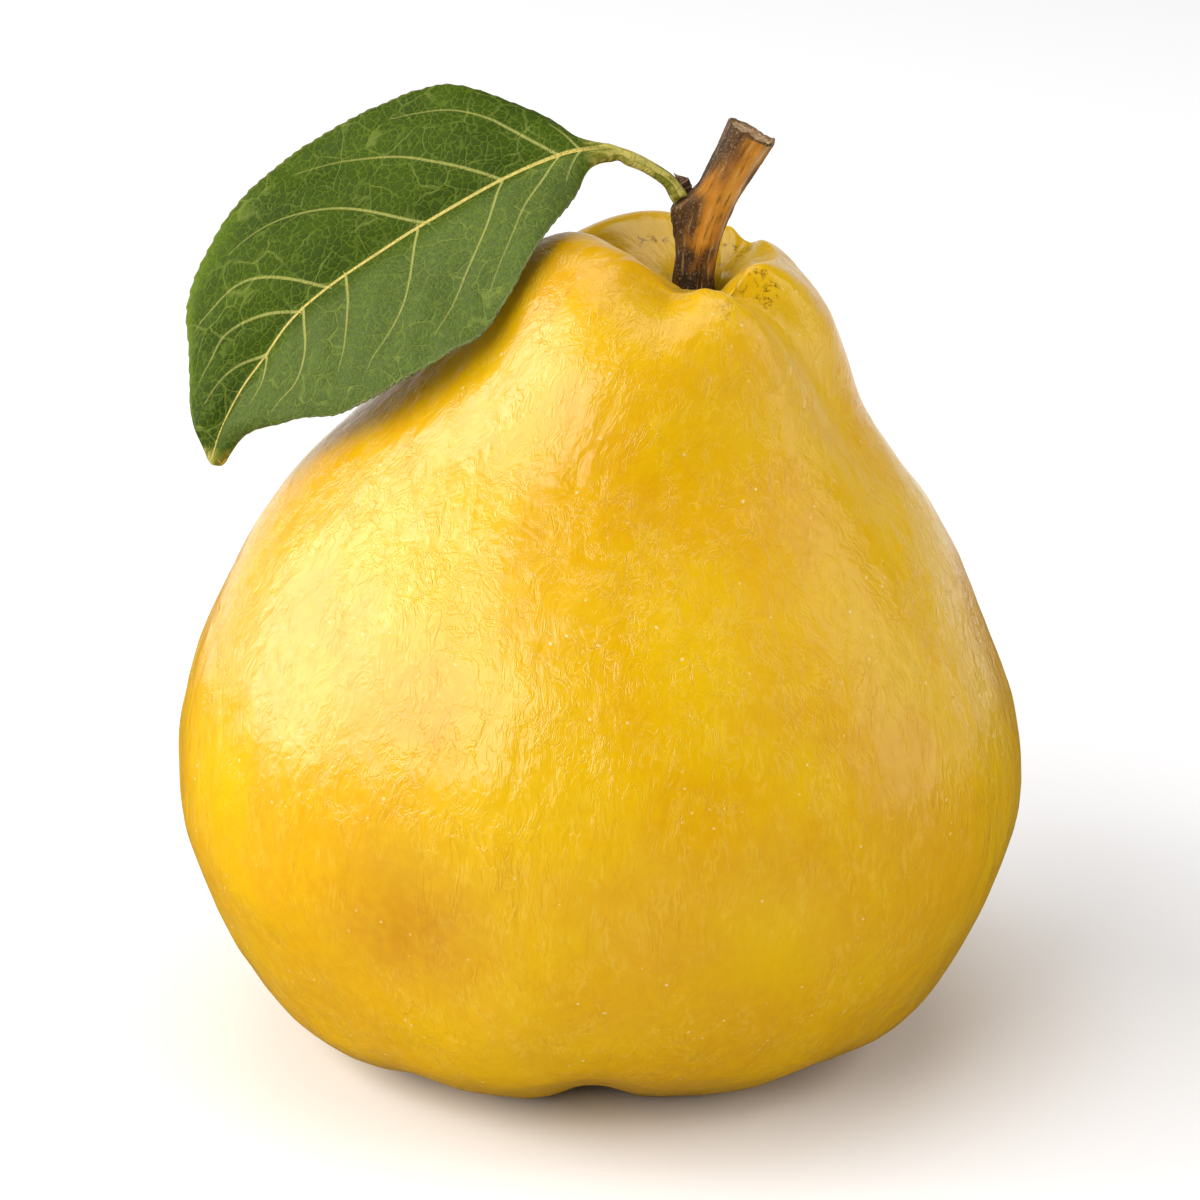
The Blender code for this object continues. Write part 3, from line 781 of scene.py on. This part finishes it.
# %% Leaf finish: colour, relief and gloss
patches = blade.fade(blade.cloud(sheet, 9 * MM, 3, 0.6), 0.32, 0.68)
mottle = blade.fade(blade.cloud(sheet, 0.45 * MM, 3, 0.6), 0.42, 0.66)
leaf_colour = blade.layered(
    blade.blend(patches, colour(46, 64, 3), colour(60, 79, 7)),
    # Painted reflection: the half of the blade that hangs lower is painted greyer and paler.
    (blade.kept("near_half_reflection"), 0.55, colour(92, 106, 56)),
    # Painted light shining through: the far margin towards the tip is painted a brighter green.
    (blade.kept("edge"), 1.0, colour(96, 118, 18)),
    (mottle, 0.35, colour(40, 58, 9)),
    (net_lines, 0.38, colour(100, 118, 30)),
    (loop_lines, 0.38, colour(128, 140, 60)),
    # Painted light: a thin pale line is painted along the rim of the blade.
    (blade.kept("rim"), 0.6, colour(146, 140, 62)),
    (branch, 1.0, colour(160, 160, 84)),
    (rib, 1.0, colour(190, 172, 92)),
    (blade.kept("under"), 0.6, colour(150, 164, 112)),
)
streaks = blade.fade(blade.cloud(blade.stretch(sheet, (0.2, 1, 1)), 0.5 * MM), 0.4, 0.6)
leaf_stalk = blade.blend(streaks, colour(112, 112, 34), colour(176, 164, 84))
leaf_colour = blade.blend(blade.kept("petiole"), leaf_colour, leaf_stalk)
vein_height = blade.sum(
    blade.times(net_lines, -0.5),
    blade.times(loop_lines, -0.6),
    blade.times(branch, 0.9),
    blade.times(blade.cloud(sheet, 0.3 * MM), 0.25),
)
leaf_gloss = blade.fade(patches, 0, 1, 0.50, 0.60)
leaf_green = blade.done(leaf_colour, leaf_gloss, blade.bump(vein_height, 0.15 * MM, 0.9))

# %% [markdown]
# ## The leaf
# The blade is drawn between three curves that hang in space: the midrib and the two margins.
# Rings run round it, over the top and back underneath, so it has a real thickness. Between the
# veins the top bulges like a quilt, and the margin has fine teeth. The side veins are given as
# short paths, each point a count along the midrib and a share of the way to the margin, with
# the far half positive and the near half negative.

# %% Leaf curves
PETIOLE_RADIUS = 0.75 * MM
PETIOLE_ROOT = 0.9 * MM
PETIOLE_SWELL = np.array([1.25, 1.05, 1.0, 1.1])
BLADE_HALF_THICKNESS = 0.16 * MM
ARCH_HEIGHT = 1.2 * MM
QUILT_HEIGHT = 0.50 * MM
QUILT_REACH = 2.4 * MM
TOOTH_DEPTH = 0.24 * MM
TOOTH_SPACING = 1.15 * MM
RIB_STATIONS = (-4, 0, 3, 7, 11)
RIB_WIDTHS = np.array([0.7, 0.50, 0.34, 0.24, 0.14]) * MM
PETIOLE_LINE = np.array([
    (8.05, -0.5, 92.1), (7.0, -0.4, 93.6), (4.9, -0.2, 95.0), (3.1, 0.0, 95.8),
]) * MM
MIDRIB = np.array([
    (1.6, 0.2, 96.3), (-1.2, 0.6, 96.1), (-4.4, 1.2, 95.4), (-10.2, 2.2, 92.6),
    (-17.8, 3.0, 88.0), (-22.7, 3.4, 84.7), (-28.1, 3.5, 80.9), (-32.0, 3.4, 77.4),
    (-34.9, 3.0, 73.4), (-37.3, 2.4, 70.1), (-39.3, 1.8, 66.1), (-40.4, 1.2, 61.8),
]) * MM
FAR_MARGIN = np.array([
    (1.6, 1.0, 96.4), (-2.4, 2.5, 97.3), (-5.8, 6.5, 98.5), (-15.8, 12.0, 100.4),
    (-25.0, 15.0, 96.4), (-31.2, 16.2, 92.6), (-36.7, 15.8, 88.2), (-40.9, 14.2, 82.9),
    (-43.5, 11.5, 77.1), (-43.3, 8.6, 71.7), (-42.8, 5.0, 66.3), (-40.4, 1.2, 61.8),
]) * MM
NEAR_MARGIN = np.array([
    (1.6, -0.6, 96.2), (-1.1, -1.6, 95.1), (-2.8, -5.0, 92.2), (-6.4, -10.4, 88.8),
    (-11.2, -13.6, 81.3), (-14.9, -14.0, 79.0), (-20.0, -12.8, 75.6), (-23.0, -11.4, 73.4),
    (-26.7, -9.2, 71.0), (-31.1, -6.6, 69.7), (-36.4, -2.4, 66.8), (-40.4, 1.2, 61.8),
]) * MM
SIDE_VEINS = (
    ((1.2, 0), (1.5, 0.4), (1.9, 0.7)),
    ((1.9, 0), (2.5, 0.45), (2.75, 0.6), (3.2, 0.73), (3.7, 0.83)),
    ((2.95, 0), (3.5, 0.33), (3.9, 0.53), (4.5, 0.68), (5.3, 0.83)),
    ((4.0, 0), (4.8, 0.30), (5.3, 0.46), (6.0, 0.62), (6.9, 0.75)),
    ((6.0, 0), (6.7, 0.34), (7.2, 0.52), (7.9, 0.66), (8.4, 0.80)),
    ((6.75, 0), (7.4, 0.23), (8.05, 0.40), (8.8, 0.50), (9.3, 0.64)),
    ((7.9, 0), (8.4, 0.13), (9.0, 0.27), (9.6, 0.42)),
    ((1.2, 0), (1.5, -0.4), (1.9, -0.7)),
    ((1.9, 0), (2.3, -0.38), (2.8, -0.56), (3.15, -0.70), (3.7, -0.84)),
    ((2.95, 0), (3.3, -0.38), (3.8, -0.59), (4.3, -0.71), (5.0, -0.83)),
    ((4.15, 0), (4.6, -0.28), (5.1, -0.50), (5.7, -0.67), (6.4, -0.79)),
    ((5.65, 0), (5.9, -0.27), (6.4, -0.51), (7.0, -0.66)),
    ((6.65, 0), (7.15, -0.30), (7.7, -0.46), (8.6, -0.60), (9.1, -0.72)),
    ((7.9, 0), (8.5, -0.22), (9.2, -0.40)),
)
print("points along the leaf:", len(PETIOLE_LINE) + len(MIDRIB), "side veins:", len(SIDE_VEINS))

# %% [markdown]
# The veins shape the blade and colour it, so every point of the leaf needs to know how far the
# nearest one is. The leaf is laid out flat for that: one number is the distance along the
# midrib, the other the distance to the side, and the side veins are lines in that flat plan.

# %% Leaf lines
def leaf_lines(steps):
    """The midrib and both margins as smooth rows, the petiole first, with the distance walked."""
    side = PETIOLE_RADIUS * PETIOLE_SWELL[:, None] * (0, 1, 0)
    middle = np.vstack([PETIOLE_LINE, MIDRIB])
    far = np.vstack([PETIOLE_LINE + side, FAR_MARGIN])
    near = np.vstack([PETIOLE_LINE - side, NEAR_MARGIN])
    rows = through(np.hstack([middle, far, near]), steps)[:-2]
    walked = np.r_[0, np.cumsum(np.linalg.norm(np.diff(rows[:, :3], axis=0), axis=1))]
    return rows[:, :3], rows[:, 3:6], rows[:, 6:], walked


print("leaf with its stalk:", round(leaf_lines(18)[3][-1] / MM, 1), "mm long")

# %% The nearest side vein
FAR_AWAY = 1.0


def beside_path(flat, path):
    """Signed distance from each flat point to a path, and the share of the path it is nearest."""
    best = np.full(flat.shape[:-1], FAR_AWAY)
    signed = np.full(flat.shape[:-1], FAR_AWAY)
    where = np.zeros(flat.shape[:-1])
    for k, (a, b) in enumerate(zip(path[:-1], path[1:])):
        ab = b - a
        t = np.clip(((flat - a) @ ab) / (ab @ ab), 0, 1)
        off = flat - a - t[..., None] * ab
        gap = np.linalg.norm(off, axis=-1)
        side = np.where(ab[0] * off[..., 1] - ab[1] * off[..., 0] < 0, -gap, gap)
        closer = gap < best
        where = np.where(closer, (k + t) / (len(path) - 1), where)
        signed = np.where(closer, side, signed)
        best = np.minimum(best, gap)
    return signed, where


def nearest_side_vein(flat, station, walked, far_width, near_width):
    """Signed distance to the nearest side vein, with that vein's half width and strength."""
    signed = np.full(flat.shape[:2], FAR_AWAY)
    half_width = np.full(flat.shape[:2], FAR_AWAY)
    strength = np.zeros(flat.shape[:2])
    for path in SIDE_VEINS:
        line = through(path, 8)
        along = np.interp(line[:, 0], station, walked)
        room = np.interp(line[:, 0], station, far_width if path[-1][1] > 0 else near_width)
        gap, where = beside_path(flat, np.stack([along, line[:, 1] * room], axis=1))
        closer = np.abs(gap) < np.abs(signed)
        signed = np.where(closer, gap, signed)
        half_width = np.where(closer, (0.22 - 0.11 * where) * MM, half_width)
        strength = np.where(closer, 0.8 - 0.5 * where, strength)
    return signed, half_width, strength


# %% [markdown]
# A ring starts at the far margin, goes over the top to the near one, and comes back underneath.
# `across` says where on that trip a point is: 1 at the far margin, 0 at the midrib and -1 at
# the near margin. The points crowd at the midrib, which has the finest relief.
# The leaf's own stalk is the same form with round rings, and opens into the blade as it widens.

# %% The blade's bulges and its thickness
def quilt_height(flat, across, to_vein, lumps):
    """How far the blade's skin bulges between its veins, and how the whole blade arches."""
    gap = np.minimum(to_vein, np.abs(flat[..., 1]))
    arch = ARCH_HEIGHT * 4 * np.abs(across) * (1 - np.abs(across))
    quilt = QUILT_HEIGHT * (1 - bell(gap / QUILT_REACH))
    return arch + quilt + 0.5 * QUILT_HEIGHT * lumps * np.abs(across)


def leaf_thickness(across, top, width, open_blade, rib, vein):
    """Height of the surface above the blade's middle sheet: veined where open, else round."""
    half = BLADE_HALF_THICKNESS * np.sqrt(np.clip(1 - np.abs(across) ** 12, 0, 1))
    raised = np.where(top > 0, 0.20, 0.55) * rib + np.where(top > 0, 0.03, 0.16) * vein
    groove = 1 - 0.25 * (top > 0) * bell(across / 0.4)
    round_half = np.minimum(width, 1.3 * PETIOLE_RADIUS) * np.sqrt(np.clip(1 - across**2, 0, 1)) * groove
    return top * (open_blade * (half + raised * MM) + (1 - open_blade) * round_half)


# %% Leaf shape
def leaf_rings(sides, steps):
    """Rings round the leaf, over the top and back underneath, and what the finish reads."""
    middle, far, near, walked = leaf_lines(steps)
    station = np.arange(len(middle)) / steps - len(PETIOLE_LINE)
    far_width = np.linalg.norm(far - middle, axis=1)
    near_width = np.linalg.norm(near - middle, axis=1)
    width = np.linalg.norm(far - near, axis=1)[:, None] / 2
    trip = np.arange(sides) / sides
    swing = 1 - 4 * np.abs((trip + 0.5) % 1 - 0.5)
    across = np.sign(swing) * np.abs(swing) ** 1.35
    top = np.where(trip < 0.5, 1.0, -1.0)
    middle[0] += unit(middle[0] - middle[1]) * PETIOLE_ROOT
    up = unit(np.cross(far - near, unit(np.gradient(middle, axis=0))))
    up *= np.sign(up[:, 2:])
    open_blade = smooth_step((width - PETIOLE_RADIUS) / (6 * MM))
    reach = np.where(across > 0, far_width[:, None], near_width[:, None])
    flat = np.stack([walked[:, None] + 0 * across, across * reach], axis=2)
    signed, half_width, strength = nearest_side_vein(flat, station, walked, far_width, near_width)
    rib_width = np.interp(station, RIB_STATIONS, RIB_WIDTHS)[:, None]
    rib = bell(flat[..., 1] / np.maximum(rib_width, 0.3 * MM))
    vein = np.maximum(bell(signed / (0.3 * MM)) * strength, rib)
    lumps = roughly(np.dstack([flat, 0 * flat[..., :1]]), 6 * MM)
    lift = open_blade * quilt_height(flat, across, np.abs(signed), lumps)
    lift = lift + leaf_thickness(across, top, width, open_blade, rib, vein)
    teeth = ((walked / TOOTH_SPACING) % 1 - 0.5)[:, None]
    bite = TOOTH_DEPTH * teeth * np.abs(across) ** 30 * open_blade
    margin = np.where((across > 0)[None, :, None], far[:, None], near[:, None]) - middle[:, None]
    points = middle[:, None] + np.abs(across)[None, :, None] * margin
    points = points + unit(margin + 1e-12) * bite[..., None] + up[:, None] * lift[..., None]
    # Painted light shining through: the far margin towards the tip is painted a brighter green.
    far_edge = smooth_step((across - 0.75) / 0.25)
    facts = {
        "sheet": np.dstack([flat, 0.3 * MM * top + 0 * flat[..., 0]]),
        "rib": flat[..., 1] / rib_width,
        "branch": signed / half_width,
        "branch_gap": np.abs(signed),
        "branch_strength": strength,
        "petiole": 1 - smooth_step((width - 1.0 * MM) / (2 * MM)) + 0 * across,
        "edge": far_edge * smooth_step((station - 5) / 4)[:, None],
        "under": (top < 0) * open_blade,
        # Painted reflection: the half of the blade that hangs lower is painted greyer and paler.
        "near_half_reflection": smooth_step(-across / 0.2) * open_blade,
        # Painted light: a thin pale line is painted along the rim of the blade.
        "rim": smooth_step((np.abs(across) - 0.975) / 0.02) * open_blade,
    }
    return points, facts


rings, facts = leaf_rings(sides=220, steps=18)
closed_piece("leaf_blade", rings, leaf_green, "leaf_green", "leaf", **facts)

# %% [markdown]
# ## The bud
# In the angle between a leaf and its twig sits next year's bud: a few brown scales, one over
# the other, round a pointed core. Scale by scale it would be a dozen small shells that nobody
# sees apart. Here it is one pointed form whose radius steps down in a saw-tooth, which gives
# the scales' edges.

# %% Bud finish
scales = LayeredFinish("brown_scales", {"Roughness": 0.68})
fibres = scales.cloud(scales.stretch(scales.place(), (1, 1, 0.3)), 0.2 * MM, 3)
scale_colour = scales.blend(scales.fade(fibres, 0.35, 0.65), colour(56, 36, 24), colour(110, 76, 50))
scale_colour = scales.blend(scales.kept("rim"), scale_colour, colour(150, 112, 78))
bud_scale = scales.done(scale_colour, None, scales.bump(fibres, 0.08 * MM, 0.8))

# %% The bud
BUD_LINE = np.array([(9.0, 0.75, 92.0), (8.5, 0.85, 92.9), (7.6, 0.9, 94.0)]) * MM
BUD_RADIUS = 0.66 * MM
BUD_TIP_RADIUS = 0.05 * MM
SCALE_ROWS = 3.2


def bud_rings(sides, steps):
    """Rings along the bud, and how near each point is to its scale's edge."""
    line = through(BUD_LINE, steps)
    share = np.linspace(0, 1, len(line))[:, None]
    angles = np.arange(sides) * 2 * math.pi / sides
    saw = (share * SCALE_ROWS + 0.18 * np.cos(angles + 2)) % 1
    belly = 0.72 + 0.35 * np.sin(math.pi * np.clip(share * 1.1, 0, 1))
    body = BUD_RADIUS * belly * (1 - smooth_step((share - 0.55) / 0.45)) + BUD_TIP_RADIUS
    radius = body * (1 + 0.16 * (saw - 0.5)) * (1 + 0.03 * np.cos(9 * angles))
    out = directions_round(np.gradient(line, axis=0), (0, 1, 0), angles)
    return line[:, None] + out * radius[..., None], smooth_step((saw - 0.8) / 0.2)


rings, rim = bud_rings(sides=40, steps=24)
closed_piece("axillary_bud_scales", rings, bud_scale, "bud_scale", "axillary_bud", rim=rim)

# %% [markdown]
# ## The dried flower's finish
# What is left of the flower at the base is dry as paper: grey-brown sepals with pale felted
# edges, and brown threads in the open cup. Every piece of it carries a number from its foot to
# its tip and another from its middle to its edge, and the finish darkens and pales by those.

# %% Dried calyx finish
dry = LayeredFinish("dry_felt", {"Roughness": 0.88})
felt = dry.cloud(dry.place(), 0.35 * MM, 4, 0.65)
ribs = dry.cloud(dry.stretch(dry.kept("wrap", "Vector"), (1, 0.12, 1)), 0.4 * MM, 3)
felt_colour = dry.layered(
    dry.blend(dry.fade(felt, 0.35, 0.65), colour(92, 64, 40), colour(140, 108, 76)),
    (dry.fade(ribs, 0.5, 0.7), 0.5, colour(176, 150, 116)),
    (dry.kept("rim"), 0.7, colour(204, 188, 162)),
    (dry.kept("tip"), 0.85, colour(38, 24, 15)),
)
dried_calyx = dry.done(felt_colour, None, dry.bump(dry.sum(felt, ribs), 0.14 * MM, 0.9))

# %% [markdown]
# ## The sepals
# Five sepals stand round the open cup and bend outwards under the fruit. On a real quince they
# are leaf-like, and they dry crooked. Each one is a blade with a midrib, two pleats, a cupped
# section and a ragged, wavy edge, drawn round a short bent line.

# %% Sepals
CALYX_RADIUS = 4.7 * MM
SEPAL_LENGTH = 9 * MM
SEPAL_SET = (
    # angle, how far it spreads, how far it twists
    (18, 1.0, 8), (88, 0.82, -14), (163, 1.06, 10), (232, 0.9, -6), (305, 0.96, 16),
)
SEPAL_LINE = ((0.0, 10.1), (2.2, 8.6), (4.0, 6.3), (5.2, 4.1), (6.2, 2.5))
SEPAL_WIDTH = (1.9, 2.5, 2.3, 1.4, 0.3)


def ring_place(angle, radius, z):
    """Points at an angle in degrees round the upright axis."""
    turn = np.radians(angle)
    return np.stack([radius * np.cos(turn), radius * np.sin(turn), z + 0 * turn], axis=-1)


def sepal_rings(angle, spread, twist, sides, steps):
    """Rings round one sepal from foot to tip, and its kept positions, edges and tip."""
    rows = through(np.column_stack([SEPAL_LINE, SEPAL_WIDTH]), steps) * MM
    share = np.linspace(0, 1, len(rows))[:, None]
    line = ring_place(np.full(len(rows), float(angle)), CALYX_RADIUS + rows[:, 0] * spread, rows[:, 1])
    turned = np.radians(angle + 90 + twist * share[:, 0])
    across = np.stack([np.cos(turned), np.sin(turned), 0 * turned], axis=1)
    face = np.cross(unit(np.gradient(line, axis=0)), across)
    angles = np.arange(sides) * 2 * math.pi / sides
    v = np.cos(angles)[None, :]
    width = rows[:, 2:3]
    wrap = np.dstack([width * v, share * SEPAL_LENGTH + 0 * v, angle * 0.1 * MM + 0 * share * v])
    ragged = 1 + 0.07 * roughly(wrap, 0.8 * MM) * np.abs(v) ** 3
    pleats = 0.16 * MM * np.cos(3 * math.pi * v) * smooth_step(share * 5) * smooth_step((1 - share) * 3)
    wavy = 0.30 * MM * roughly(wrap, 2.2 * MM) * np.abs(v) ** 1.5
    cup = 0.25 * width * v**2
    thick = (0.13 + 0.16 * bell(v / 0.22) * (1 - 0.6 * share)) * MM * np.sin(angles)
    points = line[:, None] + across[:, None] * (width * v * ragged)[..., None]
    points = points + face[:, None] * (cup + pleats + wavy + thick)[..., None]
    rim = smooth_step((np.abs(v) - 0.72) / 0.28) * (1 - smooth_step((share - 0.6) / 0.4))
    tip = smooth_step((share - 0.72) / 0.28) + 0 * v
    return points, {"wrap": wrap, "rim": rim, "tip": tip}


for number, (angle, spread, twist) in enumerate(SEPAL_SET, 1):
    rings, facts = sepal_rings(angle, spread, twist, sides=56, steps=9)
    closed_piece(f"dried_sepal_{number}", rings, dried_calyx, "dried_calyx", f"sepal_{number}", **facts)

# %% [markdown]
# ## Stamens and styles
# Inside the cup hang withered stamens, each a crooked thread with a two-lobed anther, round five
# styles that end in small knobs. A thread is a ring of points carried along a bent line; the
# anther is only a place where the ring grows and turns two-lobed. Sines of the thread's number
# make every thread a little different, and the same each time.

# %% One thread
def spread_along(values, length):
    """A smooth column of numbers, as many as a path has points, through a few values."""
    return through(np.array(values)[:, None], (length - 1) // (len(values) - 1))


def thread(name, node, line, radii, lobes, tip_from, sides=18, steps=10):
    """A thread along a line given in mm. radii in mm and lobes are spread from foot to tip."""
    path = through(np.array(line) * MM, steps)
    share = np.linspace(0, 1, len(path))[:, None]
    angles = np.arange(sides) * 2 * math.pi / sides
    out = directions_round(np.gradient(path, axis=0), (1, 0, 0), angles)
    radius = spread_along(radii, len(path)) * MM
    shape = radius * (1 + spread_along(lobes, len(path)) * np.cos(2 * angles))
    shape = shape * (1 + 0.10 * roughly(path[:, None] + out * 0.2 * MM, 0.35 * MM))
    rings = path[:, None] + out * shape[..., None]
    tip = smooth_step((share - tip_from) / 0.1) + 0 * angles
    wrap = rings[..., [0, 2, 1]]
    closed_piece(name, rings, dried_calyx, "dried_calyx", node, wrap=wrap, rim=0 * tip, tip=tip)


# %% Stamens and styles in the cup
STAMENS = 15
STAMEN_RADII, STAMEN_LOBES = (0.13, 0.11, 0.10, 0.28, 0.12), (0, 0, 0.1, 0.35, 0.1)
STYLES = 5
STYLE_RADII, STYLE_LOBES = (0.24, 0.18, 0.16, 0.17, 0.25), (0.1, 0, 0, 0, 0.15)
CUP_FLOOR = 12.7
for n in range(STAMENS):
    angle = n * 360 / STAMENS + 7 * math.sin(2.7 * n)
    reach = 1.3 + 0.6 * math.sin(1.9 * n)
    bend = 16 * math.sin(3.1 * n)
    length = 3.6 + 0.9 * math.cos(1.3 * n)
    line = [
        ring_place(angle, 2.5, CUP_FLOOR),
        ring_place(angle + 0.4 * bend, 2.4 + 0.25 * reach, CUP_FLOOR - 0.5 * length),
        ring_place(angle + bend, 2.5 + 0.7 * reach, CUP_FLOOR - length),
    ]
    node = f"stamen_{n + 1:02d}"
    thread("dried_" + node, node, line, STAMEN_RADII, STAMEN_LOBES, tip_from=0.66)
for n in range(STYLES):
    angle = n * 360 / STYLES + 30
    line = [
        ring_place(angle, 0.75, CUP_FLOOR + 0.2),
        ring_place(angle, 0.8, 11.0),
        ring_place(angle + 10, 1.2, 9.4),
    ]
    node = f"style_{n + 1}"
    thread("dried_" + node, node, line, STYLE_RADII, STYLE_LOBES, tip_from=0.85)

# %% [markdown]
# ## Floor and backdrop
# The fruit stands on plain pale paper that curves up behind it, as in a small studio, so that
# no edge shows. The front of the floor is hidden from reflections: a real skin is
# too rough and downy to mirror white paper, and hiding it keeps the shaded skin a deep yellow.

# %% Floor and backdrop
HALF_WIDTH = 3.0
BEND_STARTS = 0.2
BACKDROP_DEPTH = 1.4
BACKDROP_HEIGHT = 1.6
paper = Finish("studio_paper", {"Roughness": 0.9, "Specular IOR Level": 0.0})
studio_paper = paper.done(colour(239, 239, 241))


def sheet_of_paper(name, depths, heights):
    """A wide strip of paper through rows of depths and heights."""
    mesh = bpy.data.meshes.new(name)
    corners = [(x, y, z) for y, z in zip(depths, heights) for x in (-HALF_WIDTH, HALF_WIDTH)]
    faces = [(k, k + 1, k + 3, k + 2) for k in range(0, len(corners) - 2, 2)]
    mesh.from_pydata(corners, [], faces)
    mesh.materials.append(studio_paper)
    mesh.shade_smooth()
    made = bpy.data.objects.new(name, mesh)
    bpy.context.scene.collection.objects.link(made)
    made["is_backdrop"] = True
    print(name, "-", len(faces), "faces")
    return made


rise = np.linspace(0, 1, 12)
floor = sheet_of_paper("studio_floor", (-HALF_WIDTH, BEND_STARTS), (0.0, 0.0))
floor.visible_glossy = False
back_depths = (BEND_STARTS, *(0.9 + BACKDROP_DEPTH * rise))
back_heights = (0.0, *(BACKDROP_HEIGHT * rise**2))
sheet_of_paper("studio_backdrop", back_depths, back_heights)

# %% [markdown]
# ## Light
# The light is soft and comes from large lamps. The key lamp stands high on the left and in
# front, and its reflection is the broad pale band down the skin. A second lamp at the left side
# draws the bright rim there. On the right a weak lamp and a bounce board lift the shade, and
# one lamp hangs overhead. The board gives light but isn't mirrored, and neither is the white
# room, for the same reason as the floor. Each lamp's glow is how bright its front looks, so
# its power follows from its size.

# %% Lamps
LAMPS_FACE = Vector((0, 0, 45 * MM))
WHITE = (1.0, 1.0, 1.0)
WARM_WHITE = (1.0, 0.985, 0.96)


def lamp(name, place, width, height, glow, tint, mirrored=True):
    """A soft rectangular lamp that faces the fruit. glow is how bright its front looks."""
    light = bpy.data.lights.new(name, "AREA")
    light.shape = "RECTANGLE"
    light.size, light.size_y, light.color = width, height, tint
    light.energy = glow * math.pi * width * height
    made = bpy.data.objects.new(name, light)
    made.location = place
    made.rotation_euler = (LAMPS_FACE - Vector(place)).to_track_quat("-Z", "Y").to_euler()
    made.visible_glossy = mirrored
    bpy.context.scene.collection.objects.link(made)
    print(name, "-", round(light.energy, 2), "W")


lamp("key_softbox", (-0.81, -0.61, 0.69), 1.40, 0.85, 4.1, WARM_WHITE)
lamp("left_softbox", (-1.10, 0.25, 0.50), 0.80, 0.90, 4.8, WARM_WHITE)
lamp("right_softbox", (1.12, 0.05, 0.50), 0.60, 1.20, 1.3, WHITE)
lamp("right_bounce", (1.00, -0.40, 0.50), 0.90, 1.20, 1.4, WHITE, mirrored=False)
lamp("top_softbox", (0.0, 0.1, 1.25), 1.00, 1.00, 1.9, WHITE)

# %% The white room
ROOM_BRIGHTNESS = 0.22
world = bpy.data.worlds.new("white_room")
world.use_nodes = True
background = world.node_tree.nodes["Background"]
background.inputs["Color"].default_value = (*WHITE, 1)
background.inputs["Strength"].default_value = ROOM_BRIGHTNESS
world.cycles_visibility.glossy = False
bpy.context.scene.world = world
bpy.context.scene.view_settings.view_transform = "Standard"
print("room brightness:", ROOM_BRIGHTNESS)

# %% [markdown]
# ## The last measurement
# The dressed fruit should keep to the plain model's size. The script prints how far each corner
# of its box lies beyond the plain model's, so the two can be compared.

# %% Compare sizes and finish
shown_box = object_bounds()
for end, shown, plain in zip(("lowest", "highest"), shown_box, cad_box):
    beyond = [round((s - p) / MM, 2) for s, p in zip(shown, plain)]
    print(end, "corner beyond the plain model's, mm:", beyond)
